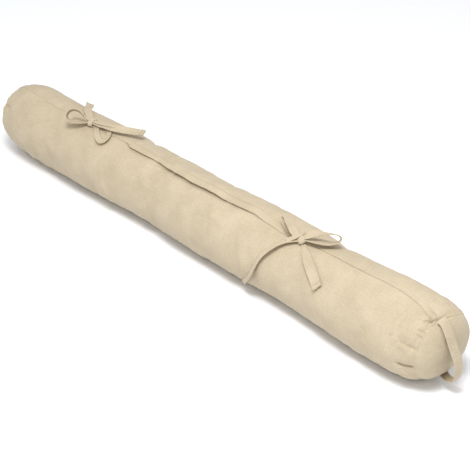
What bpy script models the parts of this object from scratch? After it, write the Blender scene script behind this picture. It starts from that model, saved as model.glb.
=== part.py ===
# A draught excluder: a long filled roll of linen that lies along the foot of a door.
# X runs along the roll towards the end with the handle, Y runs from the front to the back and
# Z is up from the floor, all in metres. Angles round the roll are degrees: 0 at the front,
# 90 on top, 180 at the back and 270 underneath.
from collections import namedtuple
from math import radians

import bmesh
import bpy
import numpy as np
from mathutils import Vector

for old in list(bpy.data.objects):
    bpy.data.objects.remove(old, do_unlink=True)

# Main sizes
SEAM_TO_SEAM = 0.870
MEAN_RADIUS = 0.0533
FLAT_DEPTH = 0.0012
CLOTH_GAP = 0.0003
TAPE_THICKNESS = 0.0014
HALF_SEAM = SEAM_TO_SEAM / 2
# The middle between the seams lies a little off the middle of the whole, handle included
PLACE = Vector((-0.0100, 0.0015, 0.0))

# Sections of the roll: how far along, its radius, and how far it strays across to the back
Section = namedtuple("Section", "along radius across")
ROLL = (
    Section(-0.40, 0.0537, -0.0063),
    Section(-0.35, 0.0531, -0.0087),
    Section(-0.29, 0.0522, -0.0063),
    Section(-0.23, 0.0529, -0.0049),
    Section(-0.17, 0.0531, -0.0018),
    Section(-0.11, 0.0513, 0.0016),
    Section(-0.05, 0.0509, 0.0023),
    Section(0.01, 0.0521, 0.0000),
    Section(0.07, 0.0527, 0.0017),
    Section(0.13, 0.0533, 0.0032),
    Section(0.19, 0.0520, 0.0063),
    Section(0.25, 0.0506, 0.0044),
    Section(0.31, 0.0523, 0.0021),
    Section(0.37, 0.0539, 0.0024),
    Section(0.41, 0.0534, 0.0040),
)

# Each end: radius of its seam against the roll's, length over which the cloth draws in to it,
# height of the domed panel, and how far the top leans outwards
End = namedtuple("End", "seam_share draw_in dome lean")
FAR_END = End(0.70, 0.058, 0.0155, 0.0)
NEAR_END = End(0.83, 0.044, 0.0224, 0.0073)
LEAN_REACH = 0.03

# The closing line on top: the lapped edge stands proud by lap, and the cloth dips by gape
# in front of it
Closing = namedtuple("Closing", "along around lap gape")
CLOSING = (
    Closing(-0.435, 78.0, 0.0003, 0.0006),
    Closing(-0.26, 76.5, 0.0003, 0.0005),
    Closing(-0.179, 74.4, 0.0005, 0.0006),
    Closing(-0.146, 74.4, 0.0012, 0.0008),
    Closing(-0.134, 69.8, 0.0026, 0.0014),
    Closing(-0.105, 71.3, 0.0026, 0.0014),
    Closing(-0.078, 74.2, 0.0016, 0.0010),
    Closing(-0.046, 70.8, 0.0030, 0.0018),
    Closing(0.023, 70.2, 0.0034, 0.0022),
    Closing(0.053, 71.0, 0.0034, 0.0022),
    Closing(0.084, 70.8, 0.0018, 0.0012),
    Closing(0.129, 72.6, 0.0012, 0.0008),
    Closing(0.150, 69.6, 0.0008, 0.0006),
    Closing(0.180, 67.0, 0.0004, 0.0004),
    Closing(0.215, 77.3, 0.0003, 0.0005),
    Closing(0.268, 81.3, 0.0003, 0.0006),
    Closing(0.371, 79.8, 0.0003, 0.0006),
    Closing(0.435, 79.0, 0.0003, 0.0006),
)
GAPE_WIDTH = 0.003
LAP_FLAT = 0.012
LAP_FADE = 0.034

# Soft wrinkles as troughs between two points of the cloth
Wrinkle = namedtuple("Wrinkle", "along_from around_from along_to around_to depth width")
WRINKLES = (
    Wrinkle(-0.005, 72.0, 0.035, 56.0, 0.0016, 0.009),
    Wrinkle(0.050, 66.0, 0.100, 52.0, 0.0012, 0.009),
    Wrinkle(0.150, 24.0, 0.172, -30.0, 0.0018, 0.010),
    Wrinkle(0.152, 92.0, 0.192, 70.0, 0.0022, 0.008),
    Wrinkle(0.128, 14.0, 0.140, -36.0, 0.0010, 0.009),
    Wrinkle(-0.210, 8.0, -0.176, -38.0, 0.0014, 0.010),
    Wrinkle(-0.060, -2.0, -0.040, -42.0, 0.0012, 0.010),
    Wrinkle(0.255, 112.0, 0.240, 150.0, 0.0014, 0.010),
    Wrinkle(-0.130, 110.0, -0.150, 160.0, 0.0014, 0.010),
    Wrinkle(-0.300, 60.0, -0.322, 96.0, 0.0010, 0.009),
    Wrinkle(0.040, 200.0, 0.060, 152.0, 0.0014, 0.010),
)

# Gathers that run from an end seam into the roll: angle, depth, half width and reach
Gather = namedtuple("Gather", "around depth half_width reach")
NEAR_GATHERS = (
    Gather(-34.0, 0.0022, 6.0, 0.020),
    Gather(-13.0, 0.0034, 6.0, 0.034),
    Gather(18.5, 0.0022, 6.0, 0.026),
    Gather(41.0, 0.0016, 5.5, 0.018),
    Gather(66.0, 0.0022, 6.0, 0.018),
    Gather(80.0, 0.0022, 6.0, 0.020),
    Gather(112.0, 0.0020, 7.0, 0.022),
    Gather(150.0, 0.0024, 7.0, 0.026),
    Gather(190.0, 0.0020, 7.0, 0.022),
    Gather(228.0, 0.0018, 7.0, 0.018),
)
FAR_GATHERS = (
    Gather(-25.0, 0.0020, 7.0, 0.024),
    Gather(8.0, 0.0022, 7.0, 0.026),
    Gather(35.0, 0.0034, 7.0, 0.032),
    Gather(64.0, 0.0018, 7.0, 0.022),
    Gather(98.0, 0.0022, 7.0, 0.026),
    Gather(140.0, 0.0020, 7.0, 0.024),
    Gather(182.0, 0.0022, 7.0, 0.022),
    Gather(224.0, 0.0018, 7.0, 0.018),
)

# How finely the roll is divided: steps beside the closing line in degrees, and beside the end
# seams in metres
NEAR_STEPS = (0.45, 2.0, 5.0, 9.5, 15.5)
WIDE_STEPS = 40
END_STEPS = (0.0, 0.0014, 0.0035, 0.0065, 0.0105, 0.0155, 0.0215, 0.0290, 0.0370)
ALONG_STEPS = 82
DOME_RINGS = (1.0, 0.985, 0.94, 0.86, 0.74, 0.58, 0.38, 0.18)
DOME_SIDES = 48

# Routes of the ties: how far along and round the roll, the height of the tape's middle over the
# cloth, its turn about its own line (0 lies flat, 90 stands on edge) and its width
Row = namedtuple("Row", "along around lift turn width")
LEFT_TAIL = (
    Row(-0.2280, 78.0, 0.0056, 0, 0.008),
    Row(-0.2190, 78.6, 0.0058, -6, 0.009),
    Row(-0.2019, 79.8, 0.0068, -8, 0.011),
    Row(-0.1870, 82.2, 0.0077, -14, 0.013),
    Row(-0.1751, 85.2, 0.0083, -20, 0.013),
    Row(-0.1631, 89.4, 0.0089, -22, 0.013),
    Row(-0.1520, 94.6, 0.0096, -20, 0.013),
    Row(-0.1402, 100.6, 0.0110, -18, 0.013),
)
LEFT_UNDER = (
    Row(-0.2985, 124.5, 0.0076, 0, 0.012),
    Row(-0.2850, 114.0, 0.0066, 0, 0.012),
    Row(-0.2735, 103.2, 0.0056, 0, 0.012),
    Row(-0.2612, 94.8, 0.0042, 0, 0.012),
    Row(-0.2474, 87.0, 0.0024, 0, 0.010),
    Row(-0.2362, 81.0, 0.0015, 0, 0.0065),
    Row(-0.2270, 76.8, 0.0015, 0, 0.005),
    Row(-0.2180, 74.8, 0.0018, 6, 0.0055),
    Row(-0.2095, 70.6, 0.0030, 18, 0.007),
    Row(-0.2015, 64.6, 0.0038, 28, 0.008),
    Row(-0.1920, 58.6, 0.0038, 28, 0.009),
    Row(-0.1835, 55.6, 0.0038, 28, 0.009),
    Row(-0.1780, 57.8, 0.0038, 28, 0.009),
    Row(-0.1766, 63.0, 0.0038, 26, 0.0085),
    Row(-0.1795, 69.2, 0.0034, 20, 0.008),
    Row(-0.1865, 75.0, 0.0026, 8, 0.007),
    Row(-0.1975, 79.6, 0.0018, 2, 0.006),
    Row(-0.2090, 82.0, 0.0015, 0, 0.005),
    Row(-0.2195, 83.2, 0.0015, 0, 0.005),
)
RIGHT_RIBBON = (
    Row(0.2167, 71.2, 0.0052, 0, 0.007),
    Row(0.2105, 68.0, 0.0050, -8, 0.008),
    Row(0.2045, 63.8, 0.0048, -14, 0.009),
    Row(0.1984, 58.0, 0.0047, -20, 0.009),
    Row(0.1930, 50.2, 0.0046, -28, 0.009),
    Row(0.1877, 42.2, 0.0045, -33, 0.009),
    Row(0.1820, 33.0, 0.0044, -35, 0.009),
    Row(0.1772, 24.0, 0.0041, -35, 0.0085),
    Row(0.1730, 13.0, 0.0036, -34, 0.008),
    Row(0.1677, 0.8, 0.0034, -34, 0.0075),
    Row(0.1597, -13.5, 0.0030, -32, 0.0065),
    Row(0.1465, -30.0, 0.0026, -26, 0.0058),
    Row(0.1375, -41.0, 0.0024, -20, 0.0055),
)
RIGHT_UNDER = (
    Row(0.1580, 100.8, 0.0015, 0, 0.013),
    Row(0.1682, 93.4, 0.0026, 8, 0.013),
    Row(0.1787, 86.2, 0.0034, 14, 0.013),
    Row(0.1888, 80.4, 0.0036, 14, 0.012),
    Row(0.1992, 75.6, 0.0028, 8, 0.0105),
    Row(0.2100, 72.6, 0.0016, 0, 0.008),
    Row(0.2175, 70.6, 0.0016, 0, 0.006),
    Row(0.2240, 67.4, 0.0018, 2, 0.006),
    Row(0.2323, 61.6, 0.0026, 4, 0.008),
    Row(0.2432, 54.1, 0.0032, 8, 0.0115),
    Row(0.2565, 45.2, 0.0032, 8, 0.013),
    Row(0.2698, 36.6, 0.0030, 6, 0.013),
    Row(0.2805, 29.0, 0.0032, 4, 0.013),
)

# Knots: where they sit, and their half sizes along, across and out from the cloth
Knot = namedtuple("Knot", "along around lift half_along half_across half_out")
LEFT_KNOT = Knot(-0.2280, 77.8, 0.0061, 0.0066, 0.0064, 0.0036)
RIGHT_KNOT = Knot(0.2167, 71.8, 0.0057, 0.0075, 0.0044, 0.0030)

# The two large loops stand with their open side towards LOOP_FACING. Their rows are seen square
# on from there: to the right and up from the knot and forwards out of the plane, then the turn
# of the tape about its own line (0 keeps it edge on) and its width
LOOP_FACING = Vector((0.668, -0.560, 0.490)).normalized()
Bend = namedtuple("Bend", "right up forward turn width")
LEFT_LOOP = (
    Bend(0.0000, 0.0012, 0.0000, 0, 0.006),
    Bend(-0.0080, 0.0036, -0.0034, -6, 0.009),
    Bend(-0.0137, 0.0104, -0.0058, -9, 0.012),
    Bend(-0.0195, 0.0158, -0.0062, -9, 0.013),
    Bend(-0.0265, 0.0180, -0.0062, -9, 0.013),
    Bend(-0.0333, 0.0160, -0.0062, -9, 0.013),
    Bend(-0.0374, 0.0112, -0.0062, -9, 0.013),
    Bend(-0.0376, 0.0060, -0.0062, -12, 0.013),
    Bend(-0.0330, 0.0020, -0.0060, -18, 0.013),
    Bend(-0.0240, -0.0002, -0.0050, -22, 0.013),
    Bend(-0.0150, -0.0012, -0.0026, -18, 0.011),
    Bend(-0.0060, -0.0014, -0.0002, -6, 0.007),
    Bend(0.0005, -0.0014, 0.0003, 0, 0.006),
)
RIGHT_LOOP = (
    Bend(0.0016, 0.0014, 0.0008, -30, 0.006),
    Bend(0.0066, 0.0042, 0.0036, -46, 0.010),
    Bend(0.0117, 0.0062, 0.0062, -46, 0.0125),
    Bend(0.0189, 0.0070, 0.0100, -34, 0.013),
    Bend(0.0262, 0.0070, 0.0128, -18, 0.013),
    Bend(0.0336, 0.0065, 0.0142, -8, 0.013),
    Bend(0.0412, 0.0058, 0.0146, 0, 0.013),
    Bend(0.0465, 0.0036, 0.0143, 0, 0.013),
    Bend(0.0478, 0.0002, 0.0140, 2, 0.013),
    Bend(0.0446, -0.0034, 0.0138, 6, 0.013),
    Bend(0.0372, -0.0051, 0.0138, 12, 0.013),
    Bend(0.0290, -0.0048, 0.0133, 18, 0.013),
    Bend(0.0209, -0.0036, 0.0114, 20, 0.012),
    Bend(0.0138, -0.0026, 0.0086, 16, 0.010),
    Bend(0.0070, -0.0016, 0.0052, 6, 0.007),
    Bend(0.0020, -0.0010, 0.0014, 0, 0.005),
)

# Middle line of the handle's tape, from the top of the near end seam to its bottom; the tape
# faces away from a point inside the panel
PANEL_MIDDLE = (0.430, 0.000, 0.052)
Stop = namedtuple("Stop", "along across up width")
HANDLE = (
    Stop(0.4436, -0.0076, 0.0980, 0.012),
    Stop(0.4482, -0.0074, 0.0968, 0.013),
    Stop(0.4536, -0.0068, 0.0905, 0.013),
    Stop(0.4583, -0.0058, 0.0815, 0.013),
    Stop(0.4624, -0.0045, 0.0704, 0.013),
    Stop(0.4666, -0.0030, 0.0600, 0.013),
    Stop(0.4696, -0.0012, 0.0502, 0.013),
    Stop(0.4703, 0.0003, 0.0400, 0.013),
    Stop(0.4688, 0.0014, 0.0290, 0.012),
    Stop(0.4640, 0.0026, 0.0202, 0.011),
    Stop(0.4562, 0.0044, 0.0156, 0.010),
    Stop(0.4475, 0.0078, 0.0130, 0.010),
    Stop(0.4395, 0.0128, 0.0106, 0.0105),
    Stop(0.4343, 0.0172, 0.0088, 0.012),
    Stop(0.4309, 0.0190, 0.0088, 0.012),
)
TAPE_STEP = 0.003

# Colours
LINEN = (0.66, 0.55, 0.40, 1.0)
TAPE_LINEN = (0.68, 0.57, 0.42, 1.0)


def smooth_value(table, place, name, at):
    """A column of a table read between its rows on a smooth curve."""
    places = np.array([getattr(row, place) for row in table])
    values = np.array([getattr(row, name) for row in table], dtype=float)
    slopes = np.gradient(values, places)
    at = np.clip(at, places[0], places[-1])
    index = np.clip(np.searchsorted(places, at, side="right") - 1, 0, len(places) - 2)
    step = places[index + 1] - places[index]
    part = (at - places[index]) / step
    start = values[index] * (1 + 2 * part) * (1 - part) ** 2
    start = start + slopes[index] * step * part * (1 - part) ** 2
    end = values[index + 1] * part**2 * (3 - 2 * part)
    return start + end - slopes[index + 1] * step * part**2 * (1 - part)


def plain_value(table, name, at):
    """A column of a table read between its rows on straight lines."""
    places = [row.along for row in table]
    return np.interp(at, places, [getattr(row, name) for row in table])


def radius_at(along):
    return smooth_value(ROLL, "along", "radius", along)


def across_at(along):
    return smooth_value(ROLL, "along", "across", along)


def drawn_in(end, distance):
    """The share of the radius that is left at a distance from an end seam."""
    part = np.clip(distance / end.draw_in, 0.0, 1.0)
    return end.seam_share + (1 - end.seam_share) * np.sqrt(1 - (1 - part) ** 2)


def end_share(along):
    return drawn_in(FAR_END, along + HALF_SEAM) * drawn_in(NEAR_END, HALF_SEAM - along)


def leaned(along, up):
    """The near end leans outwards at the top."""
    share = np.clip((along - HALF_SEAM + LEAN_REACH) / LEAN_REACH, 0.0, 1.0)
    return along + share * NEAR_END.lean * (up - MEAN_RADIUS) / MEAN_RADIUS


def turned_by(angle, centre):
    """Degrees from one angle to another the short way round."""
    return (angle - centre + 180.0) % 360.0 - 180.0


def lap_height(along, around):
    """The step of the lapped edge and the dip in front of it."""
    line = plain_value(CLOSING, "around", along)
    beyond = radians(1) * MEAN_RADIUS * turned_by(around, line)
    lap = plain_value(CLOSING, "lap", along)
    gape = plain_value(CLOSING, "gape", along)
    fade = np.clip((LAP_FADE - beyond) / (LAP_FADE - LAP_FLAT), 0.0, 1.0)
    fade = fade**2 * (3 - 2 * fade)
    dip = gape * np.exp(-((beyond / GAPE_WIDTH) ** 2))
    return np.where(beyond > 0, lap * fade, -dip)


def wrinkle_depth(along, around):
    """All soft wrinkles together, as a depth below the plain roll."""
    depth = np.zeros_like(along)
    for w in WRINKLES:
        middle = (w.around_from + w.around_to) / 2
        x = along - w.along_from
        y = radians(1) * MEAN_RADIUS * (turned_by(around, middle) + middle - w.around_from)
        run_x = w.along_to - w.along_from
        run_y = radians(1) * MEAN_RADIUS * (w.around_to - w.around_from)
        length = np.hypot(run_x, run_y)
        part = (x * run_x + y * run_y) / length**2
        off = (x * run_y - y * run_x) / length
        ends = np.exp(-((np.abs(part - 0.5) / 0.48) ** 4))
        depth = depth + w.depth * ends * np.exp(-((off / w.width) ** 2))
    return depth


def gather_depth(along, around):
    """The gathers at both end seams, as a depth below the plain roll."""
    depth = np.zeros_like(along)
    ends = ((NEAR_GATHERS, HALF_SEAM - along), (FAR_GATHERS, along + HALF_SEAM))
    for gathers, distance in ends:
        for g in gathers:
            fade = np.clip(1 - distance / g.reach, 0.0, 1.0)
            off = turned_by(around, g.around) / g.half_width
            depth = depth + g.depth * fade * np.exp(-(off**2))
    return depth


def cloth_point(along, around, lift):
    """A point at a height over the roll's cloth."""
    radius = radius_at(along)
    share = end_share(along)
    out = radius * share + lap_height(along, around)
    out = out - wrinkle_depth(along, around) - gather_depth(along, around) * share + lift
    angle = np.radians(around)
    across = across_at(along) - out * np.cos(angle)
    up = np.maximum(radius - FLAT_DEPTH + out * np.sin(angle), 0.0)
    return np.stack([leaned(along, up), across, up], axis=-1)


def smooth_point(along, around, lift):
    """A point at a height over the plain roll, without its lap and wrinkles."""
    radius = radius_at(along)
    out = radius * end_share(along) + lift
    angle = np.radians(around)
    across = across_at(along) - out * np.cos(angle)
    up = radius - FLAT_DEPTH + out * np.sin(angle)
    return np.stack([leaned(along, up), across, up], axis=-1)


def make_collection(name):
    collection = bpy.data.collections.new(name)
    bpy.context.scene.collection.children.link(collection)
    return collection


def make_material(name, colour, roughness):
    material = bpy.data.materials.new(name)
    material.use_nodes = True
    surface = material.node_tree.nodes["Principled BSDF"]
    surface.inputs["Base Color"].default_value = colour
    surface.inputs["Roughness"].default_value = roughness
    return material


def make_object(name, points, faces, material, collection):
    """A named object from points and faces, with its faces turned outwards."""
    mesh = bpy.data.meshes.new(name)
    mesh.from_pydata([tuple(p) for p in points], [], faces)
    shape = bmesh.new()
    shape.from_mesh(mesh)
    bmesh.ops.recalc_face_normals(shape, faces=shape.faces)
    shape.to_mesh(mesh)
    shape.free()
    mesh.polygons.foreach_set("use_smooth", [True] * len(mesh.polygons))
    mesh.materials.append(material)
    thing = bpy.data.objects.new(name, mesh)
    collection.objects.link(thing)
    thing.location = PLACE
    return thing


def loft(sections):
    """Points and faces of a closed body through sections, each with a middle point at its end."""
    count = sections.shape[1]
    points = list(sections.reshape(-1, 3))
    faces = []
    for i in range(len(sections) - 1):
        for j in range(count):
            k = (j + 1) % count
            faces.append((i * count + j, (i + 1) * count + j, (i + 1) * count + k, i * count + k))
    for i in (0, len(sections) - 1):
        middle = len(points)
        points.append(sections[i].mean(axis=0))
        faces.extend((i * count + j, i * count + (j + 1) % count, middle) for j in range(count))
    return points, faces


def roll_steps():
    """How far along the sections of the roll lie."""
    ends = np.array(END_STEPS)
    inner = HALF_SEAM - ends[-1] - (ends[-1] - ends[-2])
    middle = np.linspace(-inner, inner, ALONG_STEPS)
    return np.concatenate([ends - HALF_SEAM, middle, HALF_SEAM - ends[::-1]])


def round_steps():
    """Angles from the closing line, close together beside it."""
    wide_from = 2 * NEAR_STEPS[-1] - NEAR_STEPS[-2]
    wide = np.linspace(wide_from, 360 - wide_from, WIDE_STEPS)
    return np.concatenate([NEAR_STEPS, wide, 360 - np.array(NEAR_STEPS[::-1])])


def make_body(material, collection):
    along = roll_steps()
    turn = round_steps()
    line = plain_value(CLOSING, "around", along)
    around = line[:, None] + turn[None, :]
    along = np.repeat(along[:, None], len(turn), axis=1)
    points, faces = loft(cloth_point(along, around, 0.0))
    return make_object("body", points, faces, material, collection)


def make_end(name, end, side, gathers, material, collection):
    """A domed end panel. Side is 1 at the near end and -1 at the far end."""
    seam = side * HALF_SEAM
    edge = np.linspace(0.0, 360.0, DOME_SIDES, endpoint=False)
    pulled = np.zeros_like(edge)
    for g in gathers:
        pulled = pulled + g.depth * np.exp(-((turned_by(edge, g.around) / g.half_width) ** 2))
    middle_up = float(radius_at(seam)) - FLAT_DEPTH
    rim = float(radius_at(seam)) * end.seam_share
    angle = np.radians(edge)
    sections = []
    for share in (1.0,) + DOME_RINGS:
        out = (rim - pulled * share**3) * share
        up = middle_up + out * np.sin(angle)
        across = float(across_at(seam)) - out * np.cos(angle)
        height = CLOTH_GAP
        if sections:
            height = height + CLOTH_GAP + end.dome * (1 - share**2) ** 0.5
        along = np.full_like(up, seam + side * height)
        if side > 0:
            along = along + end.lean * (up - MEAN_RADIUS) / MEAN_RADIUS
        sections.append(np.stack([along, across, up], axis=-1))
    points, faces = loft(np.array(sections))
    points[-1] = points[-1] + np.array([side * 0.0002, 0.0, 0.0])
    return make_object(name, points, faces, material, collection)


def smooth_route(rows, step):
    """Rows of numbers made into an even, smooth route."""
    rows = np.array(rows, dtype=float)
    before = 2 * rows[0] - rows[1]
    after = 2 * rows[-1] - rows[-2]
    rows = np.vstack([before, rows, after])
    route = []
    for a, b, c, d in zip(rows, rows[1:], rows[2:], rows[3:]):
        count = max(2, int(round(np.linalg.norm(c[:3] - b[:3]) / step)))
        for t in np.linspace(0, 1, count, endpoint=False):
            bend = 2 * b + (c - a) * t + (2 * a - 5 * b + 4 * c - d) * t**2
            route.append(0.5 * (bend + (3 * b - a - 3 * c + d) * t**3))
    route.append(rows[-2])
    return np.array(route)


def unit(vectors):
    return vectors / np.linalg.norm(vectors, axis=-1, keepdims=True)


def tape_sections(line, outwards, turn, width):
    """Flat sections square to a line: outwards is the cloth's own direction there."""
    run = unit(np.gradient(line, axis=0))
    out = unit(outwards - (outwards * run).sum(axis=1)[:, None] * run)
    side = np.cross(run, out)
    angle = np.radians(turn)[:, None]
    flat = side * np.cos(angle) + out * np.sin(angle)
    face = out * np.cos(angle) - side * np.sin(angle)
    half_width = (width / 2)[:, None]
    half_thick = TAPE_THICKNESS / 2
    corners = ((-1, -1), (1, -1), (1, 1), (-1, 1))
    loops = [line + flat * half_width * a + face * half_thick * b for a, b in corners]
    return np.stack(loops, axis=1)


def tie_tape(rows):
    """Sections of a tape whose route is given over the roll's cloth."""
    places = [tuple(smooth_point(r.along, r.around, r.lift)) for r in rows]
    table = [p + (r.along, r.around, r.turn, r.width) for p, r in zip(places, rows)]
    route = smooth_route(table, TAPE_STEP)
    line = route[:, :3]
    middle = np.stack([line[:, 0], across_at(route[:, 3]), radius_at(route[:, 3])], axis=1)
    return tape_sections(line, unit(line - middle), route[:, 5], route[:, 6])


def loop_tape(knot, bends):
    """Sections of a tape that loops out of a knot and back, seen square on from LOOP_FACING."""
    facing = np.array(LOOP_FACING)
    right = unit(np.cross((0.0, 0.0, 1.0), facing))
    axes = np.array([right, np.cross(facing, right), facing])
    middle = smooth_point(knot.along, knot.around, knot.lift)
    places = [middle + np.array((b.right, b.up, b.forward)) @ axes for b in bends]
    table = [tuple(p) + (b.turn, b.width) for p, b in zip(places, bends)]
    route = smooth_route(table, TAPE_STEP)
    line = route[:, :3]
    outwards = unit(np.cross(facing, np.gradient(line, axis=0)))
    return tape_sections(line, outwards, route[:, 3], route[:, 4])


def make_tape(name, sections, material, collection):
    points, faces = loft(sections)
    return make_object(name, points, faces, material, collection)


def make_knot(name, knot, material, collection):
    """A rounded knot set square on the cloth."""
    middle = Vector(smooth_point(knot.along, knot.around, knot.lift)) + PLACE
    bpy.ops.mesh.primitive_uv_sphere_add(segments=12, ring_count=8, radius=1.0, location=middle)
    thing = bpy.context.object
    thing.name = name
    thing.data.name = name
    thing.scale = (knot.half_along, knot.half_across, knot.half_out)
    thing.rotation_euler = (radians(90.0 - knot.around), 0.0, 0.0)
    thing.data.polygons.foreach_set("use_smooth", [True] * len(thing.data.polygons))
    thing.data.materials.append(material)
    for old in list(thing.users_collection):
        old.objects.unlink(thing)
    collection.objects.link(thing)
    return thing


def join_to(thing, other):
    """Makes another shape part of this one."""
    other.hide_render = True
    other.display_type = "WIRE"
    union = thing.modifiers.new("join_" + other.name, "BOOLEAN")
    union.operation = "UNION"
    union.solver = "EXACT"
    union.use_self = True
    union.object = other


def make_tie(name, knot, bends, tail, material, collection, cutters):
    """A tie with a loop and a tail that leave one knot."""
    thing = make_knot(name, knot, material, collection)
    loop = make_tape(name + "_loop", loop_tape(knot, bends), material, cutters)
    join_to(thing, loop)
    end = make_tape(name + "_tail", tie_tape(tail), material, cutters)
    join_to(thing, end)
    return thing


def make_handle(material, collection):
    route = smooth_route(HANDLE, TAPE_STEP)
    line = route[:, :3]
    outwards = unit(line - np.array(PANEL_MIDDLE))
    sections = tape_sections(line, outwards, np.zeros(len(line)), route[:, 3])
    return make_tape("handle", sections, material, collection)


def main():
    parts = make_collection("draught_excluder")
    cutters = make_collection("draught_excluder_cutters")
    linen = make_material("natural_linen", LINEN, 0.9)
    end_linen = make_material("natural_linen_ends", LINEN, 0.9)
    tape = make_material("linen_tape", TAPE_LINEN, 0.88)
    make_body(linen, parts)
    make_end("end_near", NEAR_END, 1, NEAR_GATHERS, end_linen, parts)
    make_end("end_far", FAR_END, -1, FAR_GATHERS, end_linen, parts)
    make_handle(tape, parts)
    make_tie("tie_left_upper", LEFT_KNOT, LEFT_LOOP, LEFT_TAIL, tape, parts, cutters)
    make_tie("tie_right_upper", RIGHT_KNOT, RIGHT_LOOP, RIGHT_RIBBON, tape, parts, cutters)
    make_tape("tie_left_lower", tie_tape(LEFT_UNDER), tape, parts)
    make_tape("tie_right_lower", tie_tape(RIGHT_UNDER), tape, parts)


main()
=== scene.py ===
# A draught excluder: a long filled roll of natural linen that lies along the foot of a door.
# X runs along the roll towards the end with the handle, Y runs from the front to the back and
# Z is up from the floor, all in metres. Angles round the roll are degrees: 0 at the front,
# 90 on top, 180 at the back and 270 underneath.
from collections import namedtuple
from math import radians

import bmesh
import bpy
import numpy as np
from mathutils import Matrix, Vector


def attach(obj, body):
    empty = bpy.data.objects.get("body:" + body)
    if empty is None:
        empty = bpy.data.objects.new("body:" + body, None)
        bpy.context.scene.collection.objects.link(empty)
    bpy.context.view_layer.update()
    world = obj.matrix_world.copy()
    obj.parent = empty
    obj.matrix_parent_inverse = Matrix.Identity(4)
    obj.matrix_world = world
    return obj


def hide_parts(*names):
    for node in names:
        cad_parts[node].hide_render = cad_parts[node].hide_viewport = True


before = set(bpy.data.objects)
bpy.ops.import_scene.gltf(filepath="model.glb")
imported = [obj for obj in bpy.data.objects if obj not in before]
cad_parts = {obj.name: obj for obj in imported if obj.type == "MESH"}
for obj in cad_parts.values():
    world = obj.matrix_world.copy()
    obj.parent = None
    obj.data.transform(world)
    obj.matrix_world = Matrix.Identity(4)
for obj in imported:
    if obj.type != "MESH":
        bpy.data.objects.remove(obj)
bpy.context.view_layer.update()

# Main sizes
SEAM_TO_SEAM = 0.870
MEAN_RADIUS = 0.0533
FLAT_DEPTH = 0.0012
TAPE_THICKNESS = 0.0014
TAPE_WIDTH = 0.013
HALF_SEAM = SEAM_TO_SEAM / 2
# The middle between the seams lies a little off the middle of the whole, handle included
PLACE = Vector((-0.0100, 0.0015, 0.0))

# Sections of the roll: how far along, its radius, and how far it strays across to the back
Section = namedtuple("Section", "along radius across")
ROLL = (
    Section(-0.40, 0.0537, -0.0063),
    Section(-0.35, 0.0531, -0.0087),
    Section(-0.29, 0.0522, -0.0063),
    Section(-0.23, 0.0529, -0.0049),
    Section(-0.17, 0.0531, -0.0018),
    Section(-0.11, 0.0513, 0.0016),
    Section(-0.05, 0.0509, 0.0023),
    Section(0.01, 0.0521, 0.0000),
    Section(0.07, 0.0527, 0.0017),
    Section(0.13, 0.0533, 0.0032),
    Section(0.19, 0.0520, 0.0063),
    Section(0.25, 0.0506, 0.0044),
    Section(0.31, 0.0523, 0.0021),
    Section(0.37, 0.0539, 0.0024),
    Section(0.41, 0.0534, 0.0040),
)

# Each end: radius of its seam against the roll's, length over which the cloth draws in to it,
# height of the domed panel, and how far the top leans outwards
End = namedtuple("End", "seam_share draw_in dome lean")
FAR_END = End(0.70, 0.058, 0.0155, 0.0)
NEAR_END = End(0.83, 0.044, 0.0224, 0.0073)
LEAN_REACH = 0.03

# The closing line on top: the lapped edge stands proud by lap, and the cloth dips by gape
# in front of it
Closing = namedtuple("Closing", "along around lap gape")
CLOSING = (
    Closing(-0.435, 78.0, 0.0001, 0.0001),
    Closing(-0.26, 76.5, 0.0001, 0.0001),
    Closing(-0.20, 75.0, 0.0002, 0.0003),
    Closing(-0.179, 74.4, 0.0002, 0.0002),
    Closing(-0.150, 74.6, 0.0003, 0.0003),
    Closing(-0.143, 74.2, 0.0012, 0.0008),
    Closing(-0.134, 69.8, 0.0020, 0.0010),
    Closing(-0.105, 71.3, 0.0022, 0.0012),
    Closing(-0.082, 74.2, 0.0010, 0.0008),
    Closing(-0.074, 73.4, 0.0024, 0.0012),
    Closing(-0.046, 70.8, 0.0030, 0.0018),
    Closing(0.023, 70.2, 0.0034, 0.0022),
    Closing(0.053, 71.0, 0.0034, 0.0022),
    Closing(0.080, 70.9, 0.0012, 0.0008),
    Closing(0.088, 70.7, 0.0018, 0.0012),
    Closing(0.129, 72.6, 0.0012, 0.0009),
    Closing(0.150, 69.6, 0.0005, 0.0005),
    Closing(0.180, 67.0, 0.0003, 0.0003),
    Closing(0.215, 77.3, 0.0002, 0.0004),
    Closing(0.268, 81.3, 0.0002, 0.0005),
    Closing(0.350, 80.3, 0.0002, 0.0004),
    Closing(0.385, 78.6, 0.0002, 0.0003),
    Closing(0.410, 74.0, 0.0001, 0.0002),
    Closing(0.435, 66.0, 0.0001, 0.0002),
)
GAPE_WIDTH = 0.003
LAP_FLAT = 0.012
LAP_FADE = 0.034

# Soft wrinkles as troughs between two points of the cloth
Wrinkle = namedtuple("Wrinkle", "along_from around_from along_to around_to depth width")
WRINKLES = (
    Wrinkle(-0.005, 72.0, 0.035, 56.0, 0.0016, 0.009),
    Wrinkle(0.050, 66.0, 0.100, 52.0, 0.0012, 0.009),
    Wrinkle(0.150, 24.0, 0.172, -30.0, 0.0018, 0.010),
    Wrinkle(0.152, 92.0, 0.192, 70.0, 0.0022, 0.008),
    Wrinkle(0.128, 14.0, 0.140, -36.0, 0.0010, 0.009),
    Wrinkle(-0.210, 8.0, -0.176, -38.0, 0.0014, 0.010),
    Wrinkle(-0.060, -2.0, -0.040, -42.0, 0.0012, 0.010),
    Wrinkle(0.255, 112.0, 0.240, 150.0, 0.0014, 0.010),
    Wrinkle(-0.130, 110.0, -0.150, 160.0, 0.0014, 0.010),
    Wrinkle(-0.300, 60.0, -0.322, 96.0, 0.0010, 0.009),
    Wrinkle(0.040, 200.0, 0.060, 152.0, 0.0014, 0.010),
)

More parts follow.
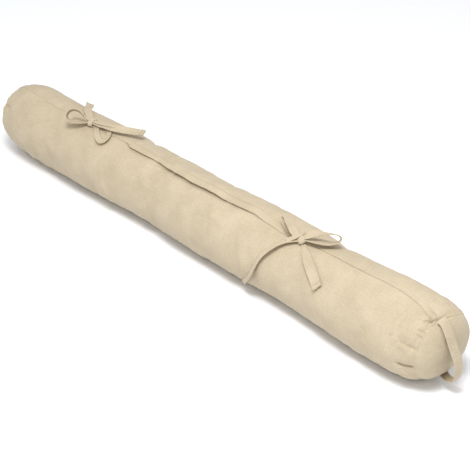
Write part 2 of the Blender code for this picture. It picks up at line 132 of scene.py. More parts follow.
# Gathers that run from an end seam into the roll: angle, depth, half width and reach
Gather = namedtuple("Gather", "around depth half_width reach")
NEAR_GATHERS = (
    Gather(-34.0, 0.0022, 6.0, 0.020),
    Gather(-13.0, 0.0034, 6.0, 0.034),
    Gather(18.5, 0.0022, 6.0, 0.026),
    Gather(41.0, 0.0016, 5.5, 0.018),
    Gather(66.0, 0.0022, 6.0, 0.018),
    Gather(80.0, 0.0022, 6.0, 0.020),
    Gather(112.0, 0.0020, 7.0, 0.022),
    Gather(150.0, 0.0024, 7.0, 0.026),
    Gather(190.0, 0.0020, 7.0, 0.022),
    Gather(228.0, 0.0018, 7.0, 0.018),
)
FAR_GATHERS = (
    Gather(-25.0, 0.0020, 7.0, 0.024),
    Gather(8.0, 0.0022, 7.0, 0.026),
    Gather(35.0, 0.0034, 7.0, 0.032),
    Gather(64.0, 0.0018, 7.0, 0.022),
    Gather(98.0, 0.0022, 7.0, 0.026),
    Gather(140.0, 0.0020, 7.0, 0.024),
    Gather(182.0, 0.0022, 7.0, 0.022),
    Gather(224.0, 0.0018, 7.0, 0.018),
)

# Routes of the ties: how far along and round the roll, the height of the tape's middle over the
# cloth, its turn about its own line (0 lies flat, 90 stands on edge) and its width
Row = namedtuple("Row", "along around lift turn width")
LEFT_TAIL = (
    Row(-0.2280, 78.0, 0.0056, 0, 0.008),
    Row(-0.2190, 78.6, 0.0058, -6, 0.009),
    Row(-0.2019, 79.8, 0.0068, -8, 0.011),
    Row(-0.1870, 82.2, 0.0077, -14, 0.013),
    Row(-0.1751, 85.2, 0.0083, -20, 0.013),
    Row(-0.1631, 89.4, 0.0089, -22, 0.013),
    Row(-0.1520, 94.6, 0.0096, -20, 0.013),
    Row(-0.1402, 100.6, 0.0110, -18, 0.013),
)
LEFT_UNDER = (
    Row(-0.2985, 124.5, 0.0076, 0, 0.012),
    Row(-0.2850, 114.0, 0.0066, 0, 0.012),
    Row(-0.2735, 103.2, 0.0056, 0, 0.012),
    Row(-0.2612, 94.8, 0.0042, 0, 0.012),
    Row(-0.2474, 87.0, 0.0024, 0, 0.010),
    Row(-0.2362, 81.0, 0.0015, 0, 0.0065),
    Row(-0.2270, 76.8, 0.0015, 0, 0.005),
    Row(-0.2180, 74.8, 0.0018, 6, 0.0055),
    Row(-0.2095, 70.6, 0.0030, 18, 0.007),
    Row(-0.2015, 64.6, 0.0038, 28, 0.008),
    Row(-0.1920, 58.6, 0.0038, 28, 0.009),
    Row(-0.1835, 55.6, 0.0038, 28, 0.009),
    Row(-0.1780, 57.8, 0.0038, 28, 0.009),
    Row(-0.1766, 63.0, 0.0038, 26, 0.0085),
    Row(-0.1795, 69.2, 0.0034, 20, 0.008),
    Row(-0.1865, 75.0, 0.0026, 8, 0.007),
    Row(-0.1975, 79.6, 0.0018, 2, 0.006),
    Row(-0.2090, 82.0, 0.0015, 0, 0.005),
    Row(-0.2195, 83.2, 0.0015, 0, 0.005),
)
RIGHT_RIBBON = (
    Row(0.2167, 71.2, 0.0052, 0, 0.007),
    Row(0.2105, 68.0, 0.0050, -8, 0.008),
    Row(0.2045, 63.8, 0.0048, -14, 0.009),
    Row(0.1984, 58.0, 0.0047, -20, 0.009),
    Row(0.1930, 50.2, 0.0046, -28, 0.009),
    Row(0.1877, 42.2, 0.0045, -33, 0.009),
    Row(0.1820, 33.0, 0.0044, -35, 0.009),
    Row(0.1772, 24.0, 0.0041, -35, 0.0085),
    Row(0.1730, 13.0, 0.0036, -34, 0.008),
    Row(0.1677, 0.8, 0.0034, -34, 0.0075),
    Row(0.1597, -13.5, 0.0030, -32, 0.0065),
    Row(0.1465, -30.0, 0.0026, -26, 0.0058),
    Row(0.1375, -41.0, 0.0024, -20, 0.0055),
)
RIGHT_UNDER = (
    Row(0.1580, 100.8, 0.0015, 0, 0.013),
    Row(0.1682, 93.4, 0.0026, 8, 0.013),
    Row(0.1787, 86.2, 0.0034, 14, 0.013),
    Row(0.1888, 80.4, 0.0036, 14, 0.012),
    Row(0.1992, 75.6, 0.0028, 8, 0.0105),
    Row(0.2100, 72.6, 0.0016, 0, 0.008),
    Row(0.2175, 70.6, 0.0016, 0, 0.006),
    Row(0.2240, 67.4, 0.0018, 2, 0.006),
    Row(0.2323, 61.6, 0.0026, 4, 0.008),
    Row(0.2432, 54.1, 0.0032, 8, 0.0115),
    Row(0.2565, 45.2, 0.0032, 8, 0.013),
    Row(0.2698, 36.6, 0.0030, 6, 0.013),
    Row(0.2805, 29.0, 0.0032, 4, 0.013),
)

# Knots: where they sit, and their half sizes along, across and out from the cloth
Knot = namedtuple("Knot", "along around lift half_along half_across half_out")
LEFT_KNOT = Knot(-0.2280, 77.8, 0.0061, 0.0066, 0.0064, 0.0036)
RIGHT_KNOT = Knot(0.2167, 71.8, 0.0057, 0.0075, 0.0044, 0.0030)

# The two large loops stand with their open side towards LOOP_FACING. Their rows are seen square
# on from there: to the right and up from the knot and forwards out of the plane, then the turn
# of the tape about its own line (0 keeps it edge on) and its width
LOOP_FACING = Vector((0.668, -0.560, 0.490)).normalized()
Bend = namedtuple("Bend", "right up forward turn width")
LEFT_LOOP = (
    Bend(0.0000, 0.0012, 0.0000, 0, 0.006),
    Bend(-0.0080, 0.0036, -0.0034, -6, 0.009),
    Bend(-0.0137, 0.0104, -0.0058, -9, 0.012),
    Bend(-0.0195, 0.0158, -0.0062, -9, 0.013),
    Bend(-0.0265, 0.0180, -0.0062, -9, 0.013),
    Bend(-0.0333, 0.0160, -0.0062, -9, 0.013),
    Bend(-0.0374, 0.0112, -0.0062, -9, 0.013),
    Bend(-0.0376, 0.0060, -0.0062, -12, 0.013),
    Bend(-0.0330, 0.0020, -0.0060, -18, 0.013),
    Bend(-0.0240, -0.0002, -0.0050, -22, 0.013),
    Bend(-0.0150, -0.0012, -0.0026, -18, 0.011),
    Bend(-0.0060, -0.0014, -0.0002, -6, 0.007),
    Bend(0.0005, -0.0014, 0.0003, 0, 0.006),
)
RIGHT_LOOP = (
    Bend(0.0016, 0.0014, 0.0008, -30, 0.006),
    Bend(0.0066, 0.0042, 0.0036, -46, 0.010),
    Bend(0.0117, 0.0062, 0.0062, -46, 0.0125),
    Bend(0.0189, 0.0070, 0.0100, -34, 0.013),
    Bend(0.0262, 0.0070, 0.0128, -18, 0.013),
    Bend(0.0336, 0.0065, 0.0142, -8, 0.013),
    Bend(0.0412, 0.0058, 0.0146, 0, 0.013),
    Bend(0.0465, 0.0036, 0.0143, 0, 0.013),
    Bend(0.0478, 0.0002, 0.0140, 2, 0.013),
    Bend(0.0446, -0.0034, 0.0138, 6, 0.013),
    Bend(0.0372, -0.0051, 0.0138, 12, 0.013),
    Bend(0.0290, -0.0048, 0.0133, 18, 0.013),
    Bend(0.0209, -0.0036, 0.0114, 20, 0.012),
    Bend(0.0138, -0.0026, 0.0086, 16, 0.010),
    Bend(0.0070, -0.0016, 0.0052, 6, 0.007),
    Bend(0.0020, -0.0010, 0.0014, 0, 0.005),
)

# Middle line of the handle's tape, from the top of the near end seam to its bottom; the tape
# faces away from a point inside the panel
PANEL_MIDDLE = (0.430, 0.000, 0.052)
Stop = namedtuple("Stop", "along across up width")
HANDLE = (
    Stop(0.4436, -0.0076, 0.0980, 0.012),
    Stop(0.4482, -0.0074, 0.0968, 0.013),
    Stop(0.4536, -0.0068, 0.0905, 0.013),
    Stop(0.4583, -0.0058, 0.0815, 0.013),
    Stop(0.4624, -0.0045, 0.0704, 0.013),
    Stop(0.4666, -0.0030, 0.0600, 0.013),
    Stop(0.4696, -0.0012, 0.0502, 0.013),
    Stop(0.4703, 0.0003, 0.0400, 0.013),
    Stop(0.4688, 0.0014, 0.0290, 0.012),
    Stop(0.4640, 0.0026, 0.0202, 0.011),
    Stop(0.4562, 0.0044, 0.0156, 0.010),
    Stop(0.4475, 0.0078, 0.0130, 0.010),
    Stop(0.4395, 0.0128, 0.0106, 0.0105),
    Stop(0.4343, 0.0172, 0.0088, 0.012),
    Stop(0.4309, 0.0190, 0.0088, 0.012),
)

# Near end: over these angles its seam hardly shows and the cloth rounds evenly into the panel,
# from 0 for the plain seam to 1
Rounding = namedtuple("Rounding", "around share")
NEAR_ROUNDING = (
    Rounding(-90.0, 0.0),
    Rounding(-40.0, 0.05),
    Rounding(-15.0, 0.55),
    Rounding(8.0, 1.0),
    Rounding(46.0, 1.0),
    Rounding(62.0, 0.1),
    Rounding(70.0, 0.0),
    Rounding(92.0, 0.0),
    Rounding(104.0, 0.7),
    Rounding(150.0, 0.7),
    Rounding(200.0, 0.4),
    Rounding(270.0, 0.0),
)
# How quickly the even rounding falls away to the middle of the panel, and how full it is
ROUND_FALL = 3
ROUND_FULLNESS = 0.357

# Sharp little creases beside the end seams, and beside the right bow's band and front tail
Crease = namedtuple("Crease", "along_from around_from along_to around_to depth width")
CREASES = (
    Crease(0.1645, 86.2, 0.1992, 69.6, 0.0054, 0.0026),
    Crease(0.1800, 77.2, 0.1975, 69.4, 0.0032, 0.0040),
    Crease(0.2250, 60.3, 0.2658, 30.0, 0.0032, 0.0015),
    Crease(0.4262, 74.0, 0.4325, 65.2, 0.0038, 0.0010),
    Crease(0.4228, 79.5, 0.4366, 75.5, 0.0040, 0.0010),
    Crease(0.4215, 72.5, 0.4312, 67.0, 0.0022, 0.0011),
    Crease(0.4262, 58.0, 0.4312, 64.6, 0.0034, 0.0010),
    Crease(0.4180, 80.5, 0.4270, 79.0, 0.0016, 0.0012),
    Crease(0.4276, 44.2, 0.4365, 46.8, 0.0018, 0.0013),
    Crease(0.4284, 37.9, 0.4382, 37.3, 0.0016, 0.0013),
    Crease(0.4150, 20.6, 0.4365, 18.0, 0.0017, 0.0024),
    Crease(0.4162, -12.6, 0.4352, -14.8, 0.0052, 0.0017),
    Crease(0.4300, -20.2, 0.4345, -31.8, 0.0014, 0.0017),
    Crease(0.4120, 100.0, 0.4390, 104.0, 0.0014, 0.0022),
    Crease(0.4140, 136.0, 0.4380, 131.0, 0.0015, 0.0022),
    Crease(0.4100, 169.0, 0.4360, 173.0, 0.0016, 0.0024),
    Crease(0.4120, 212.0, 0.4320, 209.0, 0.0014, 0.0022),
    Crease(0.4160, 246.0, 0.4300, 248.0, 0.0012, 0.0022),
    Crease(-0.4345, 33.2, -0.4060, 31.0, 0.0028, 0.0024),
    Crease(-0.4345, 16.2, -0.4140, 18.0, 0.0014, 0.0022),
    Crease(-0.4345, 52.0, -0.4160, 50.0, 0.0012, 0.0022),
    Crease(-0.4345, 72.0, -0.4120, 75.0, 0.0014, 0.0024),
    Crease(-0.4345, 96.0, -0.4150, 93.0, 0.0013, 0.0024),
    Crease(-0.4345, 121.0, -0.4100, 124.0, 0.0014, 0.0024),
    Crease(-0.4345, 158.0, -0.4140, 155.0, 0.0015, 0.0024),
    Crease(-0.4345, 200.0, -0.4120, 203.0, 0.0014, 0.0024),
    Crease(-0.4345, -12.0, -0.4120, -10.0, 0.0014, 0.0024),
    Crease(-0.4345, -40.0, -0.4160, -42.0, 0.0012, 0.0022),
)

# Soft raised ridges of the cloth between its wrinkles
RIDGES = (
    Wrinkle(0.020, 52.0, 0.060, 38.0, 0.0009, 0.005),
    Wrinkle(0.062, 44.0, 0.098, 34.0, 0.0007, 0.005),
    Wrinkle(0.040, 30.0, 0.060, 12.0, 0.0006, 0.006),
    Wrinkle(0.105, 4.0, 0.118, -24.0, 0.0009, 0.005),
    Wrinkle(0.142, 6.0, 0.150, -30.0, 0.0008, 0.005),
    Wrinkle(-0.160, 4.0, -0.148, -32.0, 0.0010, 0.005),
    Wrinkle(-0.196, -4.0, -0.184, -34.0, 0.0007, 0.005),
    Wrinkle(-0.090, 40.0, -0.050, 26.0, 0.0007, 0.006),
    Wrinkle(-0.300, 20.0, -0.270, 0.0, 0.0007, 0.007),
    Wrinkle(0.210, 34.0, 0.236, 10.0, 0.0005, 0.006),
    Wrinkle(-0.086, 88.0, -0.060, 76.0, 0.0006, 0.005),
    Wrinkle(0.110, 92.0, 0.136, 78.0, 0.0008, 0.006),
    Wrinkle(-0.0724, 7.7, -0.0553, -14.4, 0.0008, 0.0022),
    Wrinkle(-0.0601, 9.7, -0.0456, -4.6, 0.0006, 0.0020),
    Wrinkle(0.0645, 48.6, 0.0712, 63.6, 0.0006, 0.0022),
    Wrinkle(0.0730, 2.7, 0.0767, -29.4, 0.0006, 0.0024),
    Wrinkle(0.1288, 54.2, 0.1562, 56.1, 0.0006, 0.0026),
)
# How far the ridges stand out against their table, and where a trough or ridge fades away, as a
# share of its length from its middle
RIDGE_SHARE = 2.0
TROUGH_END = 0.48

# Each end seam by its angle: how far it strays outwards along the roll, how far the cloth
# swells out beside it (below zero it is pulled in), and the depth of the groove along it
Seam = namedtuple("Seam", "around shift out groove")
NEAR_SEAM = (
    Seam(-90.0, 0.0020, -0.0010, 0.0005),
    Seam(-60.0, 0.0034, -0.0012, 0.0004),
    Seam(-35.0, 0.0040, -0.0010, 0.0003),
    Seam(-5.0, 0.0040, 0.0000, 0.00015),
    Seam(25.0, 0.0032, 0.0000, 0.0001),
    Seam(45.0, 0.0008, 0.0000, 0.0002),
    Seam(58.0, -0.0030, -0.0002, 0.0008),
    Seam(67.0, -0.0040, -0.0008, 0.0026),
    Seam(76.0, -0.0012, -0.0010, 0.0026),
    Seam(88.0, 0.0022, -0.0006, 0.0022),
    Seam(102.0, 0.0050, 0.0000, 0.0006),
    Seam(130.0, 0.0030, 0.0000, 0.0004),
    Seam(200.0, 0.0000, 0.0000, 0.0006),
    Seam(270.0, 0.0020, -0.0010, 0.0005),
)
FAR_SEAM = (Seam(-90.0, 0.0, -0.0004, 0.0009), Seam(270.0, 0.0, -0.0004, 0.0009))
SWELL_REACH = 0.0045
GROOVE_WIDTH = 0.0010
SHIFT_REACH = 0.030
PANEL_FADE = 0.007

# The lapped edge: thickness of its hem, how deep the cloth goes in under it, where the hem is
# stitched down, and how strongly its edge wanders
HEM_THICKNESS = 0.0015
TUCK_DEPTH = 0.007
HEM_WIDTH = 0.0105
EDGE_WANDER = 0.00035
# Waves of the edge: length of one, its start, its seed and its share
EDGE_WAVES = ((0.021, 40.0, 11, 1.0), (0.009, 20.0, 12, 0.5))
# Lap and gape together under SEWN_DOWN make a closed seam, and the edge stands open from
# OPENING above that. A closed seam keeps this share of the hem, this tuck and this dip
SEWN_DOWN = 0.0010
OPENING = 0.0022
CLOSED_HEM = 0.22
CLOSED_TUCK = 0.0007
CLOSED_DIP = 0.0009
# Unevenness of the open lap, depth and width of the groove that its stitches pull in, and
# height and length over which its edge lifts
LAP_STIR = 0.22
STITCH_GROOVE = 0.00035
STITCH_GROOVE_WIDTH = 0.0011
EDGE_LIFT = 0.0005
EDGE_LIFT_REACH = 0.0025
# How far the dip reaches in under the lap, and the least gap there
UNDER_REACH = 0.006
UNDER_GAP = 0.0002

# Rows of the fold under the lapped edge: the share of the tuck, and 0 on the lower cloth to 1 on
# the underside of the lap
Fold = namedtuple("Fold", "tuck side")
FOLDS = (
    Fold(0.10, 0.0),
    Fold(0.30, 0.0),
    Fold(0.60, 0.0),
    Fold(0.88, 0.06),
    Fold(1.00, 0.5),
    Fold(0.88, 0.94),
    Fold(0.60, 1.0),
    Fold(0.30, 1.0),
)
# Angles of the points round the edge of the hem
HEM_TURNS = (-75.0, -45.0, -15.0, 15.0, 45.0, 75.0)
# Where the points beside the edge lie: on top of the hem, in front of it and close to it
TOP_STEPS = (0.0009, 0.0016, 0.0026, 0.0038, 0.0054, 0.0074, 0.0094, 0.0104, 0.0110, 0.0126)
TOP_STEPS = TOP_STEPS + (0.0150,)
FRONT_STEPS = (-0.0150, -0.0120, -0.0094, -0.0072, -0.0054, -0.0040, -0.0029, -0.0020)
LIP_STEPS = (-0.0013, -0.0008, -0.0004, -0.0001)
# Points round the rest of the roll, and how far they are drawn together at the front
WIDE_COUNT = 250
SPREAD_SWING = 0.085
# Sections at each end and how far they reach, and sections between them
END_ROWS = 34
END_REACH = 0.040
MIDDLE_ROWS = 252
# Rows lie closer together at these places: where, how far each way, and how much closer
CLOSE_ROWS = ((-0.140, 0.016, 1.6), (0.178, 0.036, 1.8))
PANEL_SIDES = 216
PANEL_RINGS = 40
# Rings of a panel inside the seam, under the roll's cloth, and how deep each lies
SUNK_RINGS = ((-0.03, 0.0016), (-0.008, 0.0004))
# Unevenness of a panel: cell size, start and two heights, the second on a finer pattern, and how
# far from the seam it has its full height
PANEL_CELL = 0.018
PANEL_START = 20
PANEL_ROUGH = 0.0006
PANEL_FINE = 0.00025
PANEL_FINER = 2.6
PANEL_CALM = 0.008

# Broad unevenness of the filling and finer crumpling of the cloth: cell sizes and heights
Bump = namedtuple("Bump", "cell_along cells_round height seed")
FILLING = (
    Bump(0.090, 5, 0.0009, 3),
    Bump(0.038, 10, 0.0005, 4),
)
CRUMPLE = (
    Bump(0.017, 18, 0.00026, 5),
    Bump(0.0085, 36, 0.00012, 6),
)
# Where their pattern starts, how many cells it slants in one turn, and over what length it fades
# at the end seams
BUMP_START = 7.3
BUMP_SLANT = 3.0
BUMP_FADE = 0.02
GATHER_SHARE = 0.75
# Length of one piece of a tape's route
TAPE_STEP = 0.0015

# The coarse cover that the cloth simulation settles over the filling, how much larger than the
# filling it is cut, and how far its wrinkles may stand out
COVER_ROWS = 190
COVER_SIDES = 72
COVER_FRAMES = 20
COVER_SPARE = 0.020
COVER_PRESSURE = 4.0
COVER_CAP = 0.0025
COVER_SHARE = 0.65
COVER_BLUR = (11, 7)
COVER_QUALITY = 5
COVER_STIFFNESS = 0.5
# Its underside is held this far each way from the lowest line, and its wrinkles fade over these
# lengths at the end seams and round the bows, where this share of them goes
UNDERSIDE = 35.0
SEAM_CALM = 0.012
BOW_CALM = 0.065
BOW_CALM_SHARE = 0.75
cover_wrinkles = np.zeros((COVER_ROWS, COVER_SIDES))

# The photograph's camera: what it looks at, from where, and its lens
CAMERA_TARGET = (0.07608, -0.00863, 0.0533)
CAMERA_AROUND = 50.018
CAMERA_UP = 29.37
CAMERA_DISTANCE = 1.7803
CAMERA_LENS = 103.4


def smooth_value(table, place, name, at):
    """A column of a table read between its rows on a smooth curve."""
    places = np.array([getattr(row, place) for row in table])
    values = np.array([getattr(row, name) for row in table], dtype=float)
    slopes = np.gradient(values, places)
    at = np.clip(at, places[0], places[-1])
    index = np.clip(np.searchsorted(places, at, side="right") - 1, 0, len(places) - 2)
    step = places[index + 1] - places[index]
    part = (at - places[index]) / step
    start = values[index] * (1 + 2 * part) * (1 - part) ** 2
    start = start + slopes[index] * step * part * (1 - part) ** 2
    end = values[index + 1] * part**2 * (3 - 2 * part)
    return start + end - slopes[index + 1] * step * part**2 * (1 - part)


def plain_value(table, name, at):
    """A column of a table read between its rows on straight lines."""
    places = [row.along for row in table]
    return np.interp(at, places, [getattr(row, name) for row in table])


def eased(share):
    """A share from 0 to 1 with a soft start and finish."""
    share = np.clip(share, 0.0, 1.0)
    return share**2 * (3 - 2 * share)


def soft_noise(x, y, seed, wrap=64):
    """Even bumps between -1 and 1, one to a cell. They repeat after wrap cells of y."""
    heights = np.random.default_rng(seed).uniform(-1, 1, (64, 64))
    cell_x = np.floor(x).astype(int)
    cell_y = np.floor(y).astype(int)
    u = eased(x - cell_x)
    v = eased(y - cell_y)

    def corner(i, j):
        return heights[(cell_x + i) % 64, (cell_y + j) % wrap]

    low = corner(0, 0) * (1 - u) + corner(1, 0) * u
    high = corner(0, 1) * (1 - u) + corner(1, 1) * u
    return low * (1 - v) + high * v


def waves_along(along, cell, start, seed):
    """Even waves of one line of cloth, between -1 and 1."""
    return soft_noise(along / cell + start, along * 0 + 0.5, seed)


def radius_at(along):
    return smooth_value(ROLL, "along", "radius", along)


def across_at(along):
    return smooth_value(ROLL, "along", "across", along)


def drawn_in(end, distance):
    """The share of the radius that is left at a distance from an end seam, below zero on the
    domed panel."""
    part = np.clip(distance / end.draw_in, 0.0, 1.0)
    share = end.seam_share + (1 - end.seam_share) * np.sqrt(1 - (1 - part) ** 2)
    return share * np.sqrt(1 - np.clip(-distance / end.dome, 0.0, 1.0) ** 2)


def end_share(along):
    return drawn_in(FAR_END, along + HALF_SEAM) * drawn_in(NEAR_END, HALF_SEAM - along)


def dressed_share(along, around):
    """The share of the radius with the near end rounded where its seam hardly shows."""
    plain = end_share(along)
    part = (HALF_SEAM + NEAR_END.dome - along) / (NEAR_END.dome + NEAR_END.draw_in)
    even = (1 - (1 - np.clip(part, 0.0, 1.0)) ** ROUND_FALL) ** ROUND_FULLNESS
    rounding = seam_value(NEAR_ROUNDING, "share", around) * (along > 0)
    return plain + rounding * (np.where(part < 1, even, 1.0) - np.where(part < 1, plain, 1.0))


def leaned(along, up):
    """The near end leans outwards at the top."""
    share = np.clip((along - HALF_SEAM + LEAN_REACH) / LEAN_REACH, 0.0, 1.0)
    return along + share * NEAR_END.lean * (up - MEAN_RADIUS) / MEAN_RADIUS


def turned_by(angle, centre):
    """Degrees from one angle to another the short way round."""
    return (angle - centre + 180.0) % 360.0 - 180.0


def trough_depth(troughs, along, around):
    """Troughs between two points of the cloth, added up as a depth."""
    depth = np.zeros_like(along)
    for w in troughs:
        middle = (w.around_from + w.around_to) / 2
        x = along - w.along_from
        y = radians(1) * MEAN_RADIUS * (turned_by(around, middle) + middle - w.around_from)
        run_x = w.along_to - w.along_from
        run_y = radians(1) * MEAN_RADIUS * (w.around_to - w.around_from)
        length = np.hypot(run_x, run_y)
        part = (x * run_x + y * run_y) / length**2
        off = (x * run_y - y * run_x) / length
        ends = np.exp(-((np.abs(part - 0.5) / TROUGH_END) ** 4))
        depth = depth + w.depth * ends * np.exp(-((off / w.width) ** 2))
    return depth


def gather_depth(along, around):
    """The gathers at both end seams, as a depth below the plain roll."""
    depth = np.zeros_like(along)
    ends = ((NEAR_GATHERS, HALF_SEAM - along), (FAR_GATHERS, along + HALF_SEAM))
    for gathers, distance in ends:
        for g in gathers:
            fade = np.clip(1 - distance / g.reach, 0.0, 1.0)
            fade = np.where(distance < 0, np.exp(-((distance / PANEL_FADE) ** 2)), fade)
            off = turned_by(around, g.around) / g.half_width
            depth = depth + g.depth * fade * np.exp(-(off**2))
    return depth


def seam_value(table, name, around):
    """A column of an end seam's table at an angle."""
    angles = [row.around for row in table]
    return np.interp(turned_by(around, 90.0) + 90.0, angles, [getattr(row, name) for row in table])


def swell_height(along, around):
    """The cloth swells out or is pulled in beside an end seam, with a narrow groove along it."""
    height = np.zeros_like(along)
    for table, side in ((NEAR_SEAM, 1), (FAR_SEAM, -1)):
        from_end = (side * along - HALF_SEAM) / SWELL_REACH
        height = height + seam_value(table, "out", around) * np.exp(-(from_end**2))
        from_seam = side * along - HALF_SEAM - seam_value(table, "shift", around)
        groove = seam_value(table, "groove", around)
        height = height - groove * np.exp(-np.abs(from_seam / GROOVE_WIDTH) ** 1.5)
    return height


def shifted(along, around):
    """Rows of the roll moved so that the last ones follow the end seams."""
    for table, side in ((NEAR_SEAM, 1), (FAR_SEAM, -1)):
        share = eased((side * along - HALF_SEAM + SHIFT_REACH) / SHIFT_REACH)
        along = along + side * share * seam_value(table, "shift", around)
    return along


def bump_height(bumps, along, around):
    """Unevenness of the cloth, softer towards the end seams."""
    height = np.zeros_like(along)
    for b in bumps:
        x = along / b.cell_along + BUMP_START + around / 360.0 * BUMP_SLANT
        y = (around / 360.0 * b.cells_round) % b.cells_round
        height = height + b.height * soft_noise(x, y, b.seed, b.cells_round)
    edge = np.clip((HALF_SEAM - np.abs(along)) / BUMP_FADE, 0.0, 1.0)
    return height * edge


def blurred(field, reach_along, reach_round):
    """A height field evened out over a few cells each way."""
    edged = np.pad(field, ((reach_along, reach_along), (0, 0)), mode="edge")
    count = 2 * reach_along + 1
    even = sum(edged[i : i + len(field)] for i in range(count)) / count
    turns = range(-reach_round, reach_round + 1)
    return sum(np.roll(even, i, axis=1) for i in turns) / len(turns)


def settle_cover():
    """A coarse tube of the same cloth, cut a little larger than its filling and held at both end
    seams and underneath, is blown up by the cloth simulation. Its wrinkles are kept as heights."""
    along = np.linspace(-HALF_SEAM, HALF_SEAM, COVER_ROWS)
    around = np.linspace(0.0, 360.0, COVER_SIDES, endpoint=False)
    along, around = np.meshgrid(along, around, indexing="ij")
    start = cloth_point(along, around, -COVER_SPARE * MEAN_RADIUS)
    flat = np.zeros((COVER_ROWS, COVER_SIDES + 1))
    points, faces, places = loft(start, flat[:, 0], flat)
    cover = make_object("settling_cover", points, faces, places, None)
    begin = np.array([v.co for v in cover.data.vertices])
    held = cover.vertex_groups.new(name="held")
    at_seam = np.abs(along) > HALF_SEAM - 0.001
    pinned = np.flatnonzero(at_seam | (np.abs(turned_by(around, 270.0)) < UNDERSIDE))
    end_middles = [len(points) - 2, len(points) - 1]
    held.add([int(i) for i in pinned] + end_middles, 1.0, "REPLACE")
    cloth = cover.modifiers.new("cloth", "CLOTH")
    settings = cloth.settings
    settings.vertex_group_mass = "held"
    settings.quality = COVER_QUALITY
    settings.bending_stiffness = COVER_STIFFNESS
    settings.use_pressure = True
    settings.uniform_pressure_force = COVER_PRESSURE
    settings.shrink_min = -COVER_SPARE
    settings.shrink_max = -COVER_SPARE
    settings.effector_weights.gravity = 0.0
    cloth.point_cache.frame_end = COVER_FRAMES
    for frame_number in range(1, COVER_FRAMES + 1):
        bpy.context.scene.frame_set(frame_number)
    graph = bpy.context.evaluated_depsgraph_get()
    settled = bpy.data.meshes.new_from_object(cover.evaluated_get(graph))
    moved = np.array([v.co for v in settled.vertices]) - begin
    bpy.data.objects.remove(cover, do_unlink=True)
    bpy.context.scene.frame_set(1)
    moved = moved[: COVER_ROWS * COVER_SIDES].reshape(COVER_ROWS, COVER_SIDES, 3)
    angle = np.radians(around)
    outwards = -moved[:, :, 1] * np.cos(angle) + moved[:, :, 2] * np.sin(angle)
    wrinkles = outwards - blurred(blurred(outwards, *COVER_BLUR), *COVER_BLUR)
    return np.clip(wrinkles, -COVER_CAP, COVER_CAP)


def cover_height(along, around):
    """The settled cover's wrinkles at a place, softer beside the end seams and the bows."""
    x = np.clip((along + HALF_SEAM) / SEAM_TO_SEAM * (COVER_ROWS - 1), 0, COVER_ROWS - 1.001)
    y = (around / 360.0 % 1.0) * COVER_SIDES
    i = x.astype(int)
    j = y.astype(int)
    u = eased(x - i)
    v = eased(y - j)
    k = (j + 1) % COVER_SIDES
    j = j % COVER_SIDES
    low = cover_wrinkles[i, j] * (1 - u) + cover_wrinkles[i + 1, j] * u
    high = cover_wrinkles[i, k] * (1 - u) + cover_wrinkles[i + 1, k] * u
    fade = np.clip((HALF_SEAM - np.abs(along)) / SEAM_CALM, 0.0, 1.0)
    for knot in (LEFT_KNOT, RIGHT_KNOT):
        calm = np.exp(-(((along - knot.along) / BOW_CALM) ** 4))
        fade = fade * (1 - BOW_CALM_SHARE * calm)
    return (low * (1 - v) + high * v) * fade


def cloth_point(along, around, lift):
    """A point at a height over the roll's cloth, with all its wrinkles."""
    radius = radius_at(along)
    share = dressed_share(along, around)
    out = radius * share + lift + swell_height(along, around)
    out = out + COVER_SHARE * cover_height(along, around)
    out = out - trough_depth(WRINKLES, along, around)
    out = out + RIDGE_SHARE * trough_depth(RIDGES, along, around)
    out = out - trough_depth(CREASES, along, around)
    out = out - GATHER_SHARE * gather_depth(along, around) * share
    out = out + bump_height(FILLING, along, around) + bump_height(CRUMPLE, along, around)
    angle = np.radians(around)
    across = across_at(along) - out * np.cos(angle)
    up = np.maximum(radius - FLAT_DEPTH + out * np.sin(angle), 0.0)
    return np.stack([leaned(along, up), across, up], axis=-1)


def smooth_point(along, around, lift):
    """A point at a height over the plain roll, without its lap and wrinkles."""
    radius = radius_at(along)
    out = radius * end_share(along) + lift
    angle = np.radians(around)
    across = across_at(along) - out * np.cos(angle)
    up = radius - FLAT_DEPTH + out * np.sin(angle)
    return np.stack([leaned(along, up), across, up], axis=-1)


def edge_line(along):
    """The angle of the lapped edge, with the small wander of a hem that isn't pressed."""
    waves = [share * waves_along(along, cell, start, seed) for cell, start, seed, share in EDGE_WAVES]
    wander = sum(waves)
    return plain_value(CLOSING, "around", along) + np.degrees(EDGE_WANDER * wander / MEAN_RADIUS)


